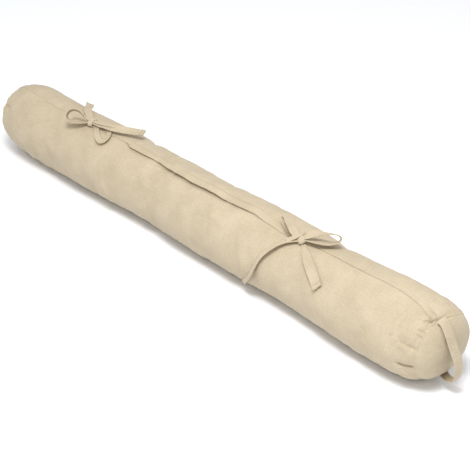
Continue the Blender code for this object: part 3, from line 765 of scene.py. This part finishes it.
def lap_sections(along):
    """Distance beyond the lapped edge and height of the cloth there, for a section of the roll
    that starts on top of the hem, goes once round and comes back out from under the lap."""
    lap = plain_value(CLOSING, "lap", along)[:, None]
    gape = plain_value(CLOSING, "gape", along)[:, None]
    stir = waves_along(along, 0.016, 3.0, 13)[:, None]
    open_share = eased((lap + gape - SEWN_DOWN) / OPENING)
    lap = lap * (1 + LAP_STIR * stir * open_share)
    hem = HEM_THICKNESS * (CLOSED_HEM + (1 - CLOSED_HEM) * open_share)
    tuck = CLOSED_TUCK + (TUCK_DEPTH - CLOSED_TUCK) * open_share
    dip_width = CLOSED_DIP + (GAPE_WIDTH - CLOSED_DIP) * open_share

    def top(beyond):
        fade = eased((LAP_FADE - beyond) / (LAP_FADE - LAP_FLAT))
        off = (beyond - HEM_WIDTH) / STITCH_GROOVE_WIDTH
        groove = STITCH_GROOVE * open_share * np.exp(-(off**2))
        lifted = EDGE_LIFT * open_share * np.exp(-beyond / EDGE_LIFT_REACH)
        return (lap + lifted) * fade - groove

    def lower(beyond):
        width = np.where(beyond > 0, UNDER_REACH, dip_width)
        return -gape * np.exp(-((beyond / width) ** 2))

    beyond = []
    height = []
    for step in TOP_STEPS:
        beyond.append(lap * 0 + step)
        height.append(top(step))
    wide_from = 2 * TOP_STEPS[-1] - TOP_STEPS[-2]
    whole = 2 * np.pi * MEAN_RADIUS
    wide_to = whole + 2 * FRONT_STEPS[0] - FRONT_STEPS[1]
    spread = np.linspace(0.0, 1.0, WIDE_COUNT)
    spread = spread + SPREAD_SWING * np.sin(2 * np.pi * (spread - 0.30))
    spread = spread + SPREAD_SWING * np.sin(0.60 * np.pi)
    for step in wide_from + (wide_to - wide_from) * spread:
        beyond.append(lap * 0 + step)
        height.append(top(lap * 0 + step))
    for step in FRONT_STEPS + LIP_STEPS:
        beyond.append(lap * 0 + whole + step)
        height.append(lower(lap * 0 + step))
    for fold in FOLDS:
        step = tuck * fold.tuck
        under = top(step) - hem
        below = np.minimum(lower(step), under - UNDER_GAP)
        beyond.append(whole + step)
        height.append(below + (under - below) * fold.side)
    for turn in HEM_TURNS:
        beyond.append(whole + hem / 2 - hem / 2 * np.cos(radians(turn)))
        height.append(top(0.0) - hem / 2 + hem / 2 * np.sin(radians(turn)))
    return np.concatenate(beyond, axis=1), np.concatenate(height, axis=1)


def make_object(name, points, faces, cloth_map, material):
    """A named object from points, faces and the place of every face corner on the flat cloth."""
    mesh = bpy.data.meshes.new(name)
    mesh.from_pydata(np.asarray(points, dtype=float).tolist(), [], faces)
    layer = mesh.uv_layers.new(name="cloth")
    layer.data.foreach_set("uv", np.asarray(cloth_map, dtype=np.float32).ravel())
    shape = bmesh.new()
    shape.from_mesh(mesh)
    bmesh.ops.translate(shape, verts=shape.verts, vec=PLACE)
    bmesh.ops.recalc_face_normals(shape, faces=shape.faces)
    shape.to_mesh(mesh)
    shape.free()
    mesh.polygons.foreach_set("use_smooth", [True] * len(mesh.polygons))
    if material:
        mesh.materials.append(material)
    thing = bpy.data.objects.new(name, mesh)
    bpy.context.scene.collection.objects.link(thing)
    return thing


def loft(sections, along, round_map):
    """Points, faces and cloth places of a closed body through sections, with a middle point at
    each end. along has one value to a section, round_map one to a point and one more."""
    count = sections.shape[1]
    points = list(sections.reshape(-1, 3))
    faces = []
    places = []
    for i in range(len(sections) - 1):
        a, b = along[i], along[i + 1]
        for j in range(count):
            k = (j + 1) % count
            faces.append((i * count + j, (i + 1) * count + j, (i + 1) * count + k, i * count + k))
            low, high = round_map[i][j], round_map[i][j + 1]
            far_low, far_high = round_map[i + 1][j], round_map[i + 1][j + 1]
            places.extend(((a, low), (b, far_low), (b, far_high), (a, high)))
    for i in (0, len(sections) - 1):
        middle = len(points)
        points.append(sections[i].mean(axis=0))
        for j in range(count):
            faces.append((i * count + j, i * count + (j + 1) % count, middle))
            low, high = round_map[i][j], round_map[i][j + 1]
            places.extend(((along[i], low), (along[i], high), (along[i], (low + high) / 2)))
    return points, faces, places


def roll_rows():
    """How far along the sections of the roll lie, close together beside the end seams."""
    share = np.linspace(0.0, 1.0, END_ROWS)
    ends = END_REACH * (0.45 * share + 0.55 * share**2)
    fine = np.linspace(-HALF_SEAM + END_REACH, HALF_SEAM - END_REACH, 4000)
    weight = np.ones_like(fine)
    for place, reach, more in CLOSE_ROWS:
        weight = weight + more * np.exp(-(((fine - place) / reach) ** 4))
    total = np.cumsum(weight)
    middle = np.interp(np.linspace(total[0], total[-1], MIDDLE_ROWS), total, fine)
    return np.concatenate([ends - HALF_SEAM, middle[1:-1], HALF_SEAM - ends[::-1]])


def cloth_round(sections):
    """How far round its section each point lies on the cloth, and its start once more."""
    steps = np.linalg.norm(np.diff(sections, axis=1, append=sections[:, :1]), axis=2)
    return np.concatenate([np.zeros((len(sections), 1)), np.cumsum(steps, axis=1)], axis=1)


def make_roll(material):
    """The filled tube of cloth with its lapped closing edge."""
    rows = roll_rows()
    beyond, height = lap_sections(rows)
    around = edge_line(rows)[:, None] + np.degrees(beyond / MEAN_RADIUS)
    along = shifted(np.repeat(rows[:, None], beyond.shape[1], axis=1), around)
    sections = cloth_point(along, around, height)
    points, faces, places = loft(sections, rows, cloth_round(sections))
    return make_object("roll_cloth", points, faces, places, material)


def make_panel(name, end, side, seam, material):
    """A domed end panel. Side is 1 at the near end and -1 at the far end."""
    edge = np.linspace(0.0, 360.0, PANEL_SIDES, endpoint=False)
    shift = seam_value(seam, "shift", edge)
    sections = []
    rings = [(share, 0.0) for share in np.linspace(0.0, 0.985, PANEL_RINGS) ** 1.25]
    for share, sunk in list(SUNK_RINGS) + rings:
        over = shift + (end.dome - shift) * np.sin(np.pi / 2 * share)
        point = cloth_point(side * (HALF_SEAM + over), edge, -sunk)
        y = point[:, 1] / PANEL_CELL + PANEL_START
        z = point[:, 2] / PANEL_CELL + PANEL_START
        fine = soft_noise(y * PANEL_FINER, z * PANEL_FINER, 22)
        rough = PANEL_ROUGH * soft_noise(y, z, 21) + PANEL_FINE * fine
        point[:, 0] = point[:, 0] + side * rough * eased((over - shift) / PANEL_CALM)
        sections.append(point)
    sections = np.array(sections)
    flat = np.zeros((len(sections), PANEL_SIDES + 1))
    points, faces, places = loft(sections, flat[:, 0], flat)
    places = [(points[i][1], points[i][2]) for face in faces for i in face]
    return make_object(name, points, faces, places, material)


def smooth_route(rows, step):
    """Rows of numbers made into an even, smooth route."""
    rows = np.array(rows, dtype=float)
    before = 2 * rows[0] - rows[1]
    after = 2 * rows[-1] - rows[-2]
    rows = np.vstack([before, rows, after])
    route = []
    for a, b, c, d in zip(rows, rows[1:], rows[2:], rows[3:]):
        count = max(2, int(round(np.linalg.norm(c[:3] - b[:3]) / step)))
        for t in np.linspace(0, 1, count, endpoint=False):
            bend = 2 * b + (c - a) * t + (2 * a - 5 * b + 4 * c - d) * t**2
            route.append(0.5 * (bend + (3 * b - a - 3 * c + d) * t**3))
    route.append(rows[-2])
    return np.array(route)


def unit(vectors):
    return vectors / np.linalg.norm(vectors, axis=-1, keepdims=True)


# One side of a tape's cross-section: share of the half width, and of the half thickness. The
# folded edges are a little thicker than the middle
TAPE_SIDE = (
    (-1.00, 0.00),
    (-0.985, 0.62),
    (-0.93, 0.95),
    (-0.82, 1.00),
    (-0.66, 0.78),
    (-0.40, 0.70),
    (0.00, 0.68),
    (0.40, 0.70),
    (0.66, 0.78),
    (0.82, 1.00),
    (0.93, 0.95),
    (0.985, 0.62),
)
# The hem at the end of a tape: how long it is, over what length its fold rises, and how much of
# the tape's thickness it adds
HEM_END = 0.0062
HEM_RISE = 0.0008
HEM_EXTRA = 1.15
# Crumpling of a tape: height of its waves, of its twist and share of its width, each with the
# length of one wave and its start
TAPE_WAVES = (0.0003, 0.008, 5)
TAPE_TWIST = (0.0004, 0.010, 2)
TAPE_WIDENING = (0.05, 0.011, 9)
# The end of a band that is sewn in under the lapped edge
SEWN_IN = -0.0016


def run_length(line):
    return np.concatenate([[0.0], np.cumsum(np.linalg.norm(np.diff(line, axis=0), axis=1))])


def tape_sections(line, outwards, turn, width, seed, cup=0.0, hems=(False, False)):
    """Sections of a folded tape along a line: outwards is the cloth's own direction there."""
    run = unit(np.gradient(line, axis=0))
    out = unit(outwards - (outwards * run).sum(axis=1)[:, None] * run)
    side = np.cross(run, out)
    angle = np.radians(turn)[:, None]
    flat = side * np.cos(angle) + out * np.sin(angle)
    face = out * np.cos(angle) - side * np.sin(angle)
    length = run_length(line)
    full = np.ones_like(length)
    for hemmed, from_end in zip(hems, (length, length[-1] - length)):
        if hemmed:
            full = full + HEM_EXTRA * eased((HEM_END - from_end) / HEM_RISE + 0.5)

    def waves(kind, more):
        height, cell, start = kind
        return height * waves_along(length, cell, start, seed + more)

    crumple = waves(TAPE_WAVES, 0)
    half_width = (width / 2) * (1 + waves(TAPE_WIDENING, 1))
    twist = waves(TAPE_TWIST, 2)
    profile = list(TAPE_SIDE) + [(-u, -t) for u, t in TAPE_SIDE]
    loops = []
    for u, t in profile:
        off = crumple + twist * u + cup * (u**2 - 0.4) * (width / TAPE_WIDTH)
        off = off + full * TAPE_THICKNESS / 2 * t
        loops.append(line + flat * (half_width * u)[:, None] + face * off[:, None])
    return np.stack(loops, axis=1), length


def tape_parts(sections, length):
    """Points, faces and cloth places of a tape."""
    return loft(sections, length, cloth_round(sections))


def tie_tape(rows, seed, cup, hems):
    """Sections of a tape whose route is given over the roll's cloth."""
    places = [tuple(smooth_point(r.along, r.around, r.lift)) for r in rows]
    table = [p + (r.along, r.around, r.turn, r.width) for p, r in zip(places, rows)]
    route = smooth_route(table, TAPE_STEP)
    line = route[:, :3]
    middle = np.stack([line[:, 0], across_at(route[:, 3]), radius_at(route[:, 3])], axis=1)
    return tape_sections(line, unit(line - middle), route[:, 5], route[:, 6], seed, cup, hems)


def knot_axes(knot):
    """The middle of a knot, and its directions along the roll, round it and outwards."""
    middle = smooth_point(knot.along, knot.around, knot.lift)
    angle = radians(knot.around)
    outwards = np.array((0.0, -np.cos(angle), np.sin(angle)))
    return middle, np.array(((1.0, 0.0, 0.0), np.cross(outwards, (1.0, 0.0, 0.0)), outwards))


def loop_tape(knot, bends, seed, cup):
    """Sections of a tape that loops out of a knot and back, seen square on from LOOP_FACING."""
    facing = np.array(LOOP_FACING)
    right = unit(np.cross((0.0, 0.0, 1.0), facing))
    axes = np.array([right, np.cross(facing, right), facing])
    middle = smooth_point(knot.along, knot.around, knot.lift)
    places = [middle + np.array((b.right, b.up, b.forward)) @ axes for b in bends]
    table = [tuple(p) + (b.turn, b.width) for p, b in zip(places, bends)]
    route = smooth_route(table, TAPE_STEP)
    line = route[:, :3]
    outwards = unit(np.cross(facing, np.gradient(line, axis=0)))
    return tape_sections(line, outwards, route[:, 3], route[:, 4], seed, cup)


# The wrap over a knot, in shares of its half sizes: along, round and out, then turn and width
Wrap = namedtuple("Wrap", "along round out turn width")
LEFT_WRAP = (
    Wrap(0.42, -1.00, -0.80, 0, 0.0060),
    Wrap(0.46, -1.05, -0.10, 0, 0.0070),
    Wrap(0.38, -0.74, 0.62, 0, 0.0076),
    Wrap(0.26, -0.10, 0.98, 0, 0.0078),
    Wrap(0.16, 0.55, 0.78, 0, 0.0076),
    Wrap(0.08, 1.00, 0.05, 0, 0.0070),
    Wrap(0.06, 1.00, -0.80, 0, 0.0060),
)
RIGHT_WRAP = (
    Wrap(0.40, -1.00, -0.80, 0, 0.0060),
    Wrap(0.42, -1.04, -0.10, 0, 0.0068),
    Wrap(0.34, -0.74, 0.62, 0, 0.0072),
    Wrap(0.24, -0.10, 0.98, 0, 0.0074),
    Wrap(0.16, 0.55, 0.78, 0, 0.0070),
    Wrap(0.10, 1.00, 0.05, 0, 0.0062),
    Wrap(0.08, 1.00, -0.80, 0, 0.0056),
)
# The ribbon's strand that passes over the right knot and ends behind it
RIGHT_STRAND = (
    Row(0.2008, 58.6, 0.0060, -20, 0.0054),
    Row(0.2055, 63.6, 0.0072, -16, 0.0060),
    Row(0.2098, 68.0, 0.0090, -8, 0.0062),
    Row(0.2122, 73.0, 0.0094, 0, 0.0058),
    Row(0.2124, 78.6, 0.0078, 6, 0.0048),
    Row(0.2114, 83.0, 0.0056, 8, 0.0040),
)
# A fold of the long tail beside the left knot
LEFT_STRAND = (
    Row(-0.2240, 78.2, 0.0072, 0, 0.0050),
    Row(-0.2150, 79.6, 0.0076, -4, 0.0062),
    Row(-0.2040, 81.2, 0.0082, -6, 0.0066),
    Row(-0.1930, 83.4, 0.0088, -10, 0.0064),
    Row(-0.1830, 86.0, 0.0092, -16, 0.0050),
)
KNOT_SIDES = 40
KNOT_RINGS = 22
# A knot's rings reach this far towards its two ends. Its creases: how many, how deep and how
# much they twist
KNOT_TILT = 0.47 * np.pi
KNOT_CREASES = 5
KNOT_CREASE = 0.07
KNOT_TWIST = 2.2
# The body of a knot against its half sizes, so that the wrap lies over it
KNOT_SHARES = (1.0, 0.96, 1.0)
# The strand over a knot and the handle curl this much across their width
WRAP_CUP = -0.0006
WRAP_LEAN = 0.002
HANDLE_CUP = -0.0007


def knot_body(knot, seed):
    """A tight knot: a rounded shape with the creases of the cloth that is pulled into it."""
    middle, axes = knot_axes(knot)
    sizes = np.array((knot.half_along, knot.half_across, knot.half_out))
    turn = np.linspace(0.0, 2 * np.pi, KNOT_SIDES, endpoint=False)
    sections = []
    for tilt in np.linspace(-KNOT_TILT, KNOT_TILT, KNOT_RINGS):
        wide = np.cos(tilt)
        ball = np.stack([np.sin(tilt) + turn * 0, wide * np.cos(turn), wide * np.sin(turn)], axis=1)
        waves = np.cos(KNOT_CREASES * turn + KNOT_TWIST * np.sin(tilt))
        creases = 1 + KNOT_CREASE * waves * wide**0.5
        rough = soft_noise(turn / (2 * np.pi) * 8, turn * 0 + tilt * 2 + 9, seed)
        creases = creases + KNOT_CREASE * rough
        ball[:, 1:] = ball[:, 1:] * creases[:, None]
        sections.append(middle + (ball * sizes * KNOT_SHARES) @ axes)
    sections = np.array(sections)
    length = np.linspace(0.0, 2 * knot.half_along, KNOT_RINGS)
    return tape_parts(sections, length)


def knot_wrap(knot, wraps, seed):
    """The strand that is wrapped over a knot."""
    middle, axes = knot_axes(knot)
    sizes = np.array((knot.half_along, knot.half_across, knot.half_out + TAPE_THICKNESS / 3))
    table = []
    for w in wraps:
        place = middle + (np.array((w.along, w.round, w.out)) * sizes) @ axes
        table.append(tuple(place) + (w.turn, w.width))
    route = smooth_route(table, TAPE_STEP / 2)
    line = route[:, :3]
    outwards = unit(line - middle + axes[2] * WRAP_LEAN)
    sections, length = tape_sections(line, outwards, route[:, 3], route[:, 4], seed, WRAP_CUP)
    return tape_parts(sections, length), length[-1]


def together(parts):
    """Several closed shapes as one list of points, faces and cloth places."""
    points, faces, places = [], [], []
    for part_points, part_faces, part_places in parts:
        start = len(points)
        points.extend(part_points)
        faces.extend(tuple(i + start for i in face) for face in part_faces)
        places.extend(part_places)
    return points, faces, places


def make_upper_tie(name, knot, loop, tails, wraps, material):
    """A tie with a knot, a loop and its tails. Returns it and the length of its tape."""
    wrap, wrap_length = knot_wrap(knot, wraps, 51)
    parts = [tape_parts(*loop), knot_body(knot, 61), wrap]
    parts.extend(tape_parts(*tail) for tail in tails)
    thing = make_object(name, *together(parts), material)
    return thing, loop[1][-1] + sum(tail[1][-1] for tail in tails) + wrap_length


def tape_cross_line(tape, from_end):
    """A line across the outer face of a tape, at a distance from its start or, below zero, its
    end."""
    sections, length = tape
    at = from_end if from_end > 0 else length[-1] + from_end
    section = sections[int(np.argmin(np.abs(length - at)))]
    half = len(TAPE_SIDE)
    face = unit(section[half // 2] - section[half // 2 + half])
    return section[2 : half - 1] + face * TAPE_STITCH_LIFT


def make_handle(material):
    route = smooth_route(HANDLE, TAPE_STEP)
    line = route[:, :3]
    outwards = unit(line - np.array(PANEL_MIDDLE))
    turn = np.zeros(len(line))
    sections, length = tape_sections(line, outwards, turn, route[:, 3], 71, HANDLE_CUP)
    return make_object("handle_tape", *tape_parts(sections, length), material), length[-1]


# Finishes
LINEN_LIGHT = (0.548, 0.464, 0.333, 1.0)
LINEN_DARK = (0.360, 0.292, 0.190, 1.0)
THREAD_LIGHT = (0.400, 0.325, 0.215, 1.0)
THREAD_DARK = (0.270, 0.210, 0.135, 1.0)
THREAD_PITCH = 0.00075


def make_linen(name, light, dark, bump):
    """Natural linen: a plain weave of uneven threads, thick slubs along both directions and a
    soft cloudiness of the undyed yarn. The pattern lies on the flat cloth, in metres."""
    material = bpy.data.materials.new(name)
    material.use_nodes = True
    nodes = material.node_tree.nodes
    links = material.node_tree.links
    surface = nodes["Principled BSDF"]
    surface.inputs["Roughness"].default_value = 0.88
    surface.inputs["Specular IOR Level"].default_value = 0.25
    surface.inputs["Sheen Weight"].default_value = 0.12
    surface.inputs["Sheen Roughness"].default_value = 0.5

    def add(kind, **settings):
        node = nodes.new(kind)
        for key, value in settings.items():
            setattr(node, key, value)
        return node

    def math(operation, a, b):
        node = add("ShaderNodeMath", operation=operation)
        for socket, value in zip(node.inputs, (a, b)):
            if isinstance(value, (int, float)):
                socket.default_value = value
            else:
                links.new(value, socket)
        return node.outputs[0]

    cloth = add("ShaderNodeUVMap", uv_map="cloth")

    def noise(scale, seed_at, detail=2.0):
        mapping = add("ShaderNodeMapping")
        mapping.inputs["Scale"].default_value = scale
        mapping.inputs["Location"].default_value = (seed_at, seed_at * 1.7, 0.0)
        links.new(cloth.outputs["UV"], mapping.inputs["Vector"])
        texture = add("ShaderNodeTexNoise", noise_dimensions="2D")
        texture.inputs["Scale"].default_value = 1.0
        texture.inputs["Detail"].default_value = detail
        links.new(mapping.outputs["Vector"], texture.inputs["Vector"])
        return texture.outputs["Fac"]

    # Threads both ways, a little crooked
    parts = add("ShaderNodeSeparateXYZ")
    links.new(cloth.outputs["UV"], parts.inputs["Vector"])
    sway = math("MULTIPLY", math("SUBTRACT", noise((160, 160, 1), 3.1), 0.5), 0.0007)
    turns = 2 * np.pi / THREAD_PITCH
    warp = math("SINE", math("MULTIPLY", math("ADD", parts.outputs["X"], sway), turns), 0)
    weft = math("SINE", math("MULTIPLY", math("ADD", parts.outputs["Y"], sway), turns), 0)
    weave = math("MULTIPLY", math("ADD", math("MULTIPLY", warp, weft), 1.0), 0.5)
    # Slubs: thicker stretches of single threads
    slub_along = noise((55, 1500, 1), 11.3, 1.0)
    slub_round = noise((1500, 55, 1), 5.7, 1.0)
    slubs = math("ADD", math("SUBTRACT", slub_along, 0.5), math("SUBTRACT", slub_round, 0.5))
    cloud = math("SUBTRACT", noise((26, 26, 1), 8.9, 3.0), 0.5)
    speckle = math("SUBTRACT", noise((520, 520, 1), 2.3, 2.0), 0.5)

    shade = math("ADD", math("MULTIPLY", slubs, 0.46), math("MULTIPLY", cloud, 0.62))
    shade = math("ADD", shade, math("MULTIPLY", speckle, 0.60))
    shade = math("ADD", shade, math("MULTIPLY", math("SUBTRACT", weave, 0.5), 0.10))
    shade = math("ADD", shade, 0.62)
    mix = add("ShaderNodeMix", data_type="RGBA")
    mix.inputs["A"].default_value = dark
    mix.inputs["B"].default_value = light
    links.new(shade, mix.inputs["Factor"])
    mix.clamp_factor = True
    links.new(mix.outputs["Result"], surface.inputs["Base Color"])

    height = math("ADD", math("MULTIPLY", weave, 0.5), math("MULTIPLY", slubs, 0.9))
    height = math("ADD", height, math("MULTIPLY", speckle, 0.6))
    relief = add("ShaderNodeBump")
    relief.inputs["Strength"].default_value = bump
    relief.inputs["Distance"].default_value = 0.00025
    links.new(height, relief.inputs["Height"])
    links.new(relief.outputs["Normal"], surface.inputs["Normal"])
    return material


def stitch_maker(thread):
    """A row of stitches along an edge line: its length, gap and thickness are inputs."""
    tree = bpy.data.node_groups.new("stitch_row", "GeometryNodeTree")
    face = tree.interface
    face.new_socket("Line", in_out="INPUT", socket_type="NodeSocketGeometry")
    for title in ("Stitch length", "Gap", "Thickness"):
        face.new_socket(title, in_out="INPUT", socket_type="NodeSocketFloat")
    face.new_socket("Stitches", in_out="OUTPUT", socket_type="NodeSocketGeometry")
    nodes = tree.nodes
    links = tree.links
    start = nodes.new("NodeGroupInput")
    finish = nodes.new("NodeGroupOutput")
    curve = nodes.new("GeometryNodeMeshToCurve")
    links.new(start.outputs["Line"], curve.inputs["Mesh"])
    pitch = nodes.new("ShaderNodeMath")
    pitch.operation = "ADD"
    links.new(start.outputs["Stitch length"], pitch.inputs[0])
    links.new(start.outputs["Gap"], pitch.inputs[1])
    spaced = nodes.new("GeometryNodeResampleCurve")
    spaced.mode = "LENGTH"
    links.new(curve.outputs["Curve"], spaced.inputs["Curve"])
    links.new(pitch.outputs[0], spaced.inputs["Length"])
    stitch = nodes.new("GeometryNodeMeshUVSphere")
    stitch.inputs["Segments"].default_value = 8
    stitch.inputs["Rings"].default_value = 6
    stitch.inputs["Radius"].default_value = 0.5
    size = nodes.new("ShaderNodeCombineXYZ")
    links.new(start.outputs["Thickness"], size.inputs["X"])
    links.new(start.outputs["Thickness"], size.inputs["Y"])
    links.new(start.outputs["Stitch length"], size.inputs["Z"])
    tangent = nodes.new("GeometryNodeInputTangent")
    align = nodes.new("FunctionNodeAlignRotationToVector")
    align.axis = "Z"
    links.new(tangent.outputs["Tangent"], align.inputs["Vector"])
    place = nodes.new("GeometryNodeInstanceOnPoints")
    links.new(spaced.outputs["Curve"], place.inputs["Points"])
    links.new(stitch.outputs["Mesh"], place.inputs["Instance"])
    links.new(align.outputs["Rotation"], place.inputs["Rotation"])
    links.new(size.outputs["Vector"], place.inputs["Scale"])
    real = nodes.new("GeometryNodeRealizeInstances")
    links.new(place.outputs["Instances"], real.inputs["Geometry"])
    smooth = nodes.new("GeometryNodeSetShadeSmooth")
    links.new(real.outputs["Geometry"], smooth.inputs["Geometry"])
    finish_set = nodes.new("GeometryNodeSetMaterial")
    finish_set.inputs["Material"].default_value = thread
    links.new(smooth.outputs["Geometry"], finish_set.inputs["Geometry"])
    links.new(finish_set.outputs["Geometry"], finish.inputs["Stitches"])
    return tree


def make_stitches(name, line, tree, thread, length, gap, thickness):
    """Stitches along a line of points, as a plain mesh."""
    mesh = bpy.data.meshes.new(name + "_line")
    edges = [(i, i + 1) for i in range(len(line) - 1)]
    mesh.from_pydata((np.asarray(line) + np.array(PLACE)).tolist(), edges, [])
    row = bpy.data.objects.new(name + "_line", mesh)
    bpy.context.scene.collection.objects.link(row)
    maker = row.modifiers.new("stitches", "NODES")
    maker.node_group = tree
    values = {"Stitch length": length, "Gap": gap, "Thickness": thickness}
    for item in tree.interface.items_tree:
        if item.item_type == "SOCKET" and item.name in values:
            maker[item.identifier] = values[item.name]
    graph = bpy.context.evaluated_depsgraph_get()
    made = bpy.data.meshes.new_from_object(row.evaluated_get(graph))
    made.name = name
    bpy.data.objects.remove(row, do_unlink=True)
    thing = bpy.data.objects.new(name, made)
    bpy.context.scene.collection.objects.link(thing)
    return thing


# Stitches: how far from a tape's end they cross it, the gap between two, where the row along the
# hem starts and ends, its step, and how far the rows lie off the cloth
HEM_STITCH = 0.0050
STITCH_GAP = 0.0006
HEM_FROM = -0.1400
HEM_TO = 0.2010
HEM_STEP = 0.0015
HEM_STITCH_LIFT = 0.00005
TAPE_STITCH_LIFT = 0.00008


def hem_line():
    """Where the hem of the lapped edge is stitched down."""
    along = np.arange(HEM_FROM, HEM_TO, HEM_STEP)
    beyond = HEM_WIDTH + 0.0001
    around = edge_line(along) + np.degrees(beyond / MEAN_RADIUS)
    lap = plain_value(CLOSING, "lap", along)
    return cloth_point(along, around, lap + HEM_STITCH_LIFT)


# The stage: half the width of the floor, how far it lies under the roll, its colour, the
# strength of the even sky, and the light above: its place, aim, size and power
FLOOR_HALF = 6.0
FLOOR_UNDER = 0.0003
FLOOR_COLOUR = (0.95, 0.965, 1.0, 1.0)
SKY_STRENGTH = 0.79
WHITE = (1.0, 1.0, 1.0)
LIGHT_PLACE = (0.54, -0.54, 1.5)
LIGHT_AIM = (0.18, 0.0, 0.0)
LIGHT_SIZE = (0.6, 0.5)
LIGHT_POWER = 22.0


def look_at(thing, target):
    direction = Vector(target) - thing.location
    thing.rotation_euler = direction.to_track_quat("-Z", "Y").to_euler()


def make_camera():
    around = radians(CAMERA_AROUND)
    up = radians(CAMERA_UP)
    back = Vector((np.sin(around) * np.cos(up), -np.cos(around) * np.cos(up), np.sin(up)))
    data = bpy.data.cameras.new("camera")
    data.sensor_width = 36.0
    data.lens = CAMERA_LENS
    camera = bpy.data.objects.new("camera", data)
    camera.location = Vector(CAMERA_TARGET) + back * CAMERA_DISTANCE
    look_at(camera, CAMERA_TARGET)
    bpy.context.scene.collection.objects.link(camera)
    bpy.context.scene.camera = camera


def make_light(name, place, target, size, power, colour):
    data = bpy.data.lights.new(name, "AREA")
    data.shape = "RECTANGLE"
    data.size = size[0]
    data.size_y = size[1]
    data.energy = power
    data.color = colour
    light = bpy.data.objects.new(name, data)
    light.location = place
    look_at(light, target)
    bpy.context.scene.collection.objects.link(light)


def make_stage():
    """A plain pale floor under soft studio light."""
    mesh = bpy.data.meshes.new("floor")
    sides = ((-1, -1), (1, -1), (1, 1), (-1, 1))
    corners = [(x * FLOOR_HALF, y * FLOOR_HALF, -FLOOR_UNDER) for x, y in sides]
    mesh.from_pydata(corners, [], [(0, 1, 2, 3)])
    floor = bpy.data.objects.new("floor", mesh)
    bpy.context.scene.collection.objects.link(floor)
    material = bpy.data.materials.new("pale_floor")
    material.use_nodes = True
    surface = material.node_tree.nodes["Principled BSDF"]
    surface.inputs["Base Color"].default_value = FLOOR_COLOUR
    surface.inputs["Roughness"].default_value = 0.9
    surface.inputs["Specular IOR Level"].default_value = 0.1
    mesh.materials.append(material)
    world = bpy.data.worlds.new("studio")
    bpy.context.scene.world = world
    world.use_nodes = True
    sky = world.node_tree.nodes["Background"]
    sky.inputs["Color"].default_value = WHITE + (1.0,)
    sky.inputs["Strength"].default_value = SKY_STRENGTH
    make_light("top_light", LIGHT_PLACE, LIGHT_AIM, LIGHT_SIZE, LIGHT_POWER, WHITE)
    view = bpy.context.scene.view_settings
    view.view_transform = "Standard"
    view.look = "None"
    view.exposure = 0.0
    view.gamma = 1.0


def main():
    linen = make_linen("natural_linen", LINEN_LIGHT, LINEN_DARK, 0.36)
    tape = make_linen("linen_tape", LINEN_LIGHT, LINEN_DARK, 0.30)
    thread = make_linen("linen_thread", THREAD_LIGHT, THREAD_DARK, 0.1)
    make_camera()
    cover_wrinkles[:] = settle_cover()

    roll = make_roll(linen)
    near = make_panel("end_panel_near", NEAR_END, 1, NEAR_SEAM, linen)
    far = make_panel("end_panel_far", FAR_END, -1, FAR_SEAM, linen)
    for thing, node in ((roll, "body"), (near, "end_near"), (far, "end_far")):
        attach(thing, "root")
        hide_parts(node)

    handle, handle_length = make_handle(tape)
    left_loop = loop_tape(LEFT_KNOT, LEFT_LOOP, 31, 0.0004)
    left_tail = tie_tape(LEFT_TAIL, 41, 0.0005, (False, True))
    right_loop = loop_tape(RIGHT_KNOT, RIGHT_LOOP, 32, 0.0004)
    right_ribbon = tie_tape(RIGHT_RIBBON, 44, -0.0012, (False, True))
    left_strand = tie_tape(LEFT_STRAND, 49, -0.0006, (False, False))
    left_upper, left_length = make_upper_tie(
        "left_bow", LEFT_KNOT, left_loop, [left_tail, left_strand], LEFT_WRAP, tape
    )
    right_strand = tie_tape(RIGHT_STRAND, 47, -0.0008, (False, False))
    right_upper, right_length = make_upper_tie(
        "right_bow", RIGHT_KNOT, right_loop, [right_ribbon, right_strand], RIGHT_WRAP, tape
    )
    left_low = tie_tape(LEFT_UNDER, 81, 0.0005, (True, False))
    sewn_in = RIGHT_UNDER[0]._replace(lift=SEWN_IN)
    right_low = tie_tape((sewn_in,) + RIGHT_UNDER[1:], 85, 0.0004, (False, True))
    left_lower = make_object("left_bow_under", *tape_parts(*left_low), tape)
    right_lower = make_object("right_bow_under", *tape_parts(*right_low), tape)
    tapes = (
        (handle, "handle", handle_length, "end_panel_near"),
        (left_upper, "tie_left_upper", left_length, "roll_cloth"),
        (right_upper, "tie_right_upper", right_length, "roll_cloth"),
        (left_lower, "tie_left_lower", left_low[1][-1], "roll_cloth"),
        (right_lower, "tie_right_lower", right_low[1][-1], "roll_cloth"),
    )
    for thing, node, length, under in tapes:
        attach(thing, "root")
        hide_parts(node)

    tree = stitch_maker(thread)
    rows = (
        ("hem_stitches", hem_line(), 0.0023, 0.00030, "linen"),
        ("left_tail_stitches", tape_cross_line(left_tail, -HEM_STITCH), 0.0018, 0.00075, "tape"),
        ("left_short_stitches", tape_cross_line(left_low, HEM_STITCH), 0.0016, 0.00065, "tape"),
        ("right_tail_stitches", tape_cross_line(right_low, -HEM_STITCH), 0.0018, 0.00075, "tape"),
    )
    for name, line, length, thickness, slot in rows:
        stitches = make_stitches(name, line, tree, thread, length, STITCH_GAP, thickness)
        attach(stitches, "root")

    make_stage()


main()
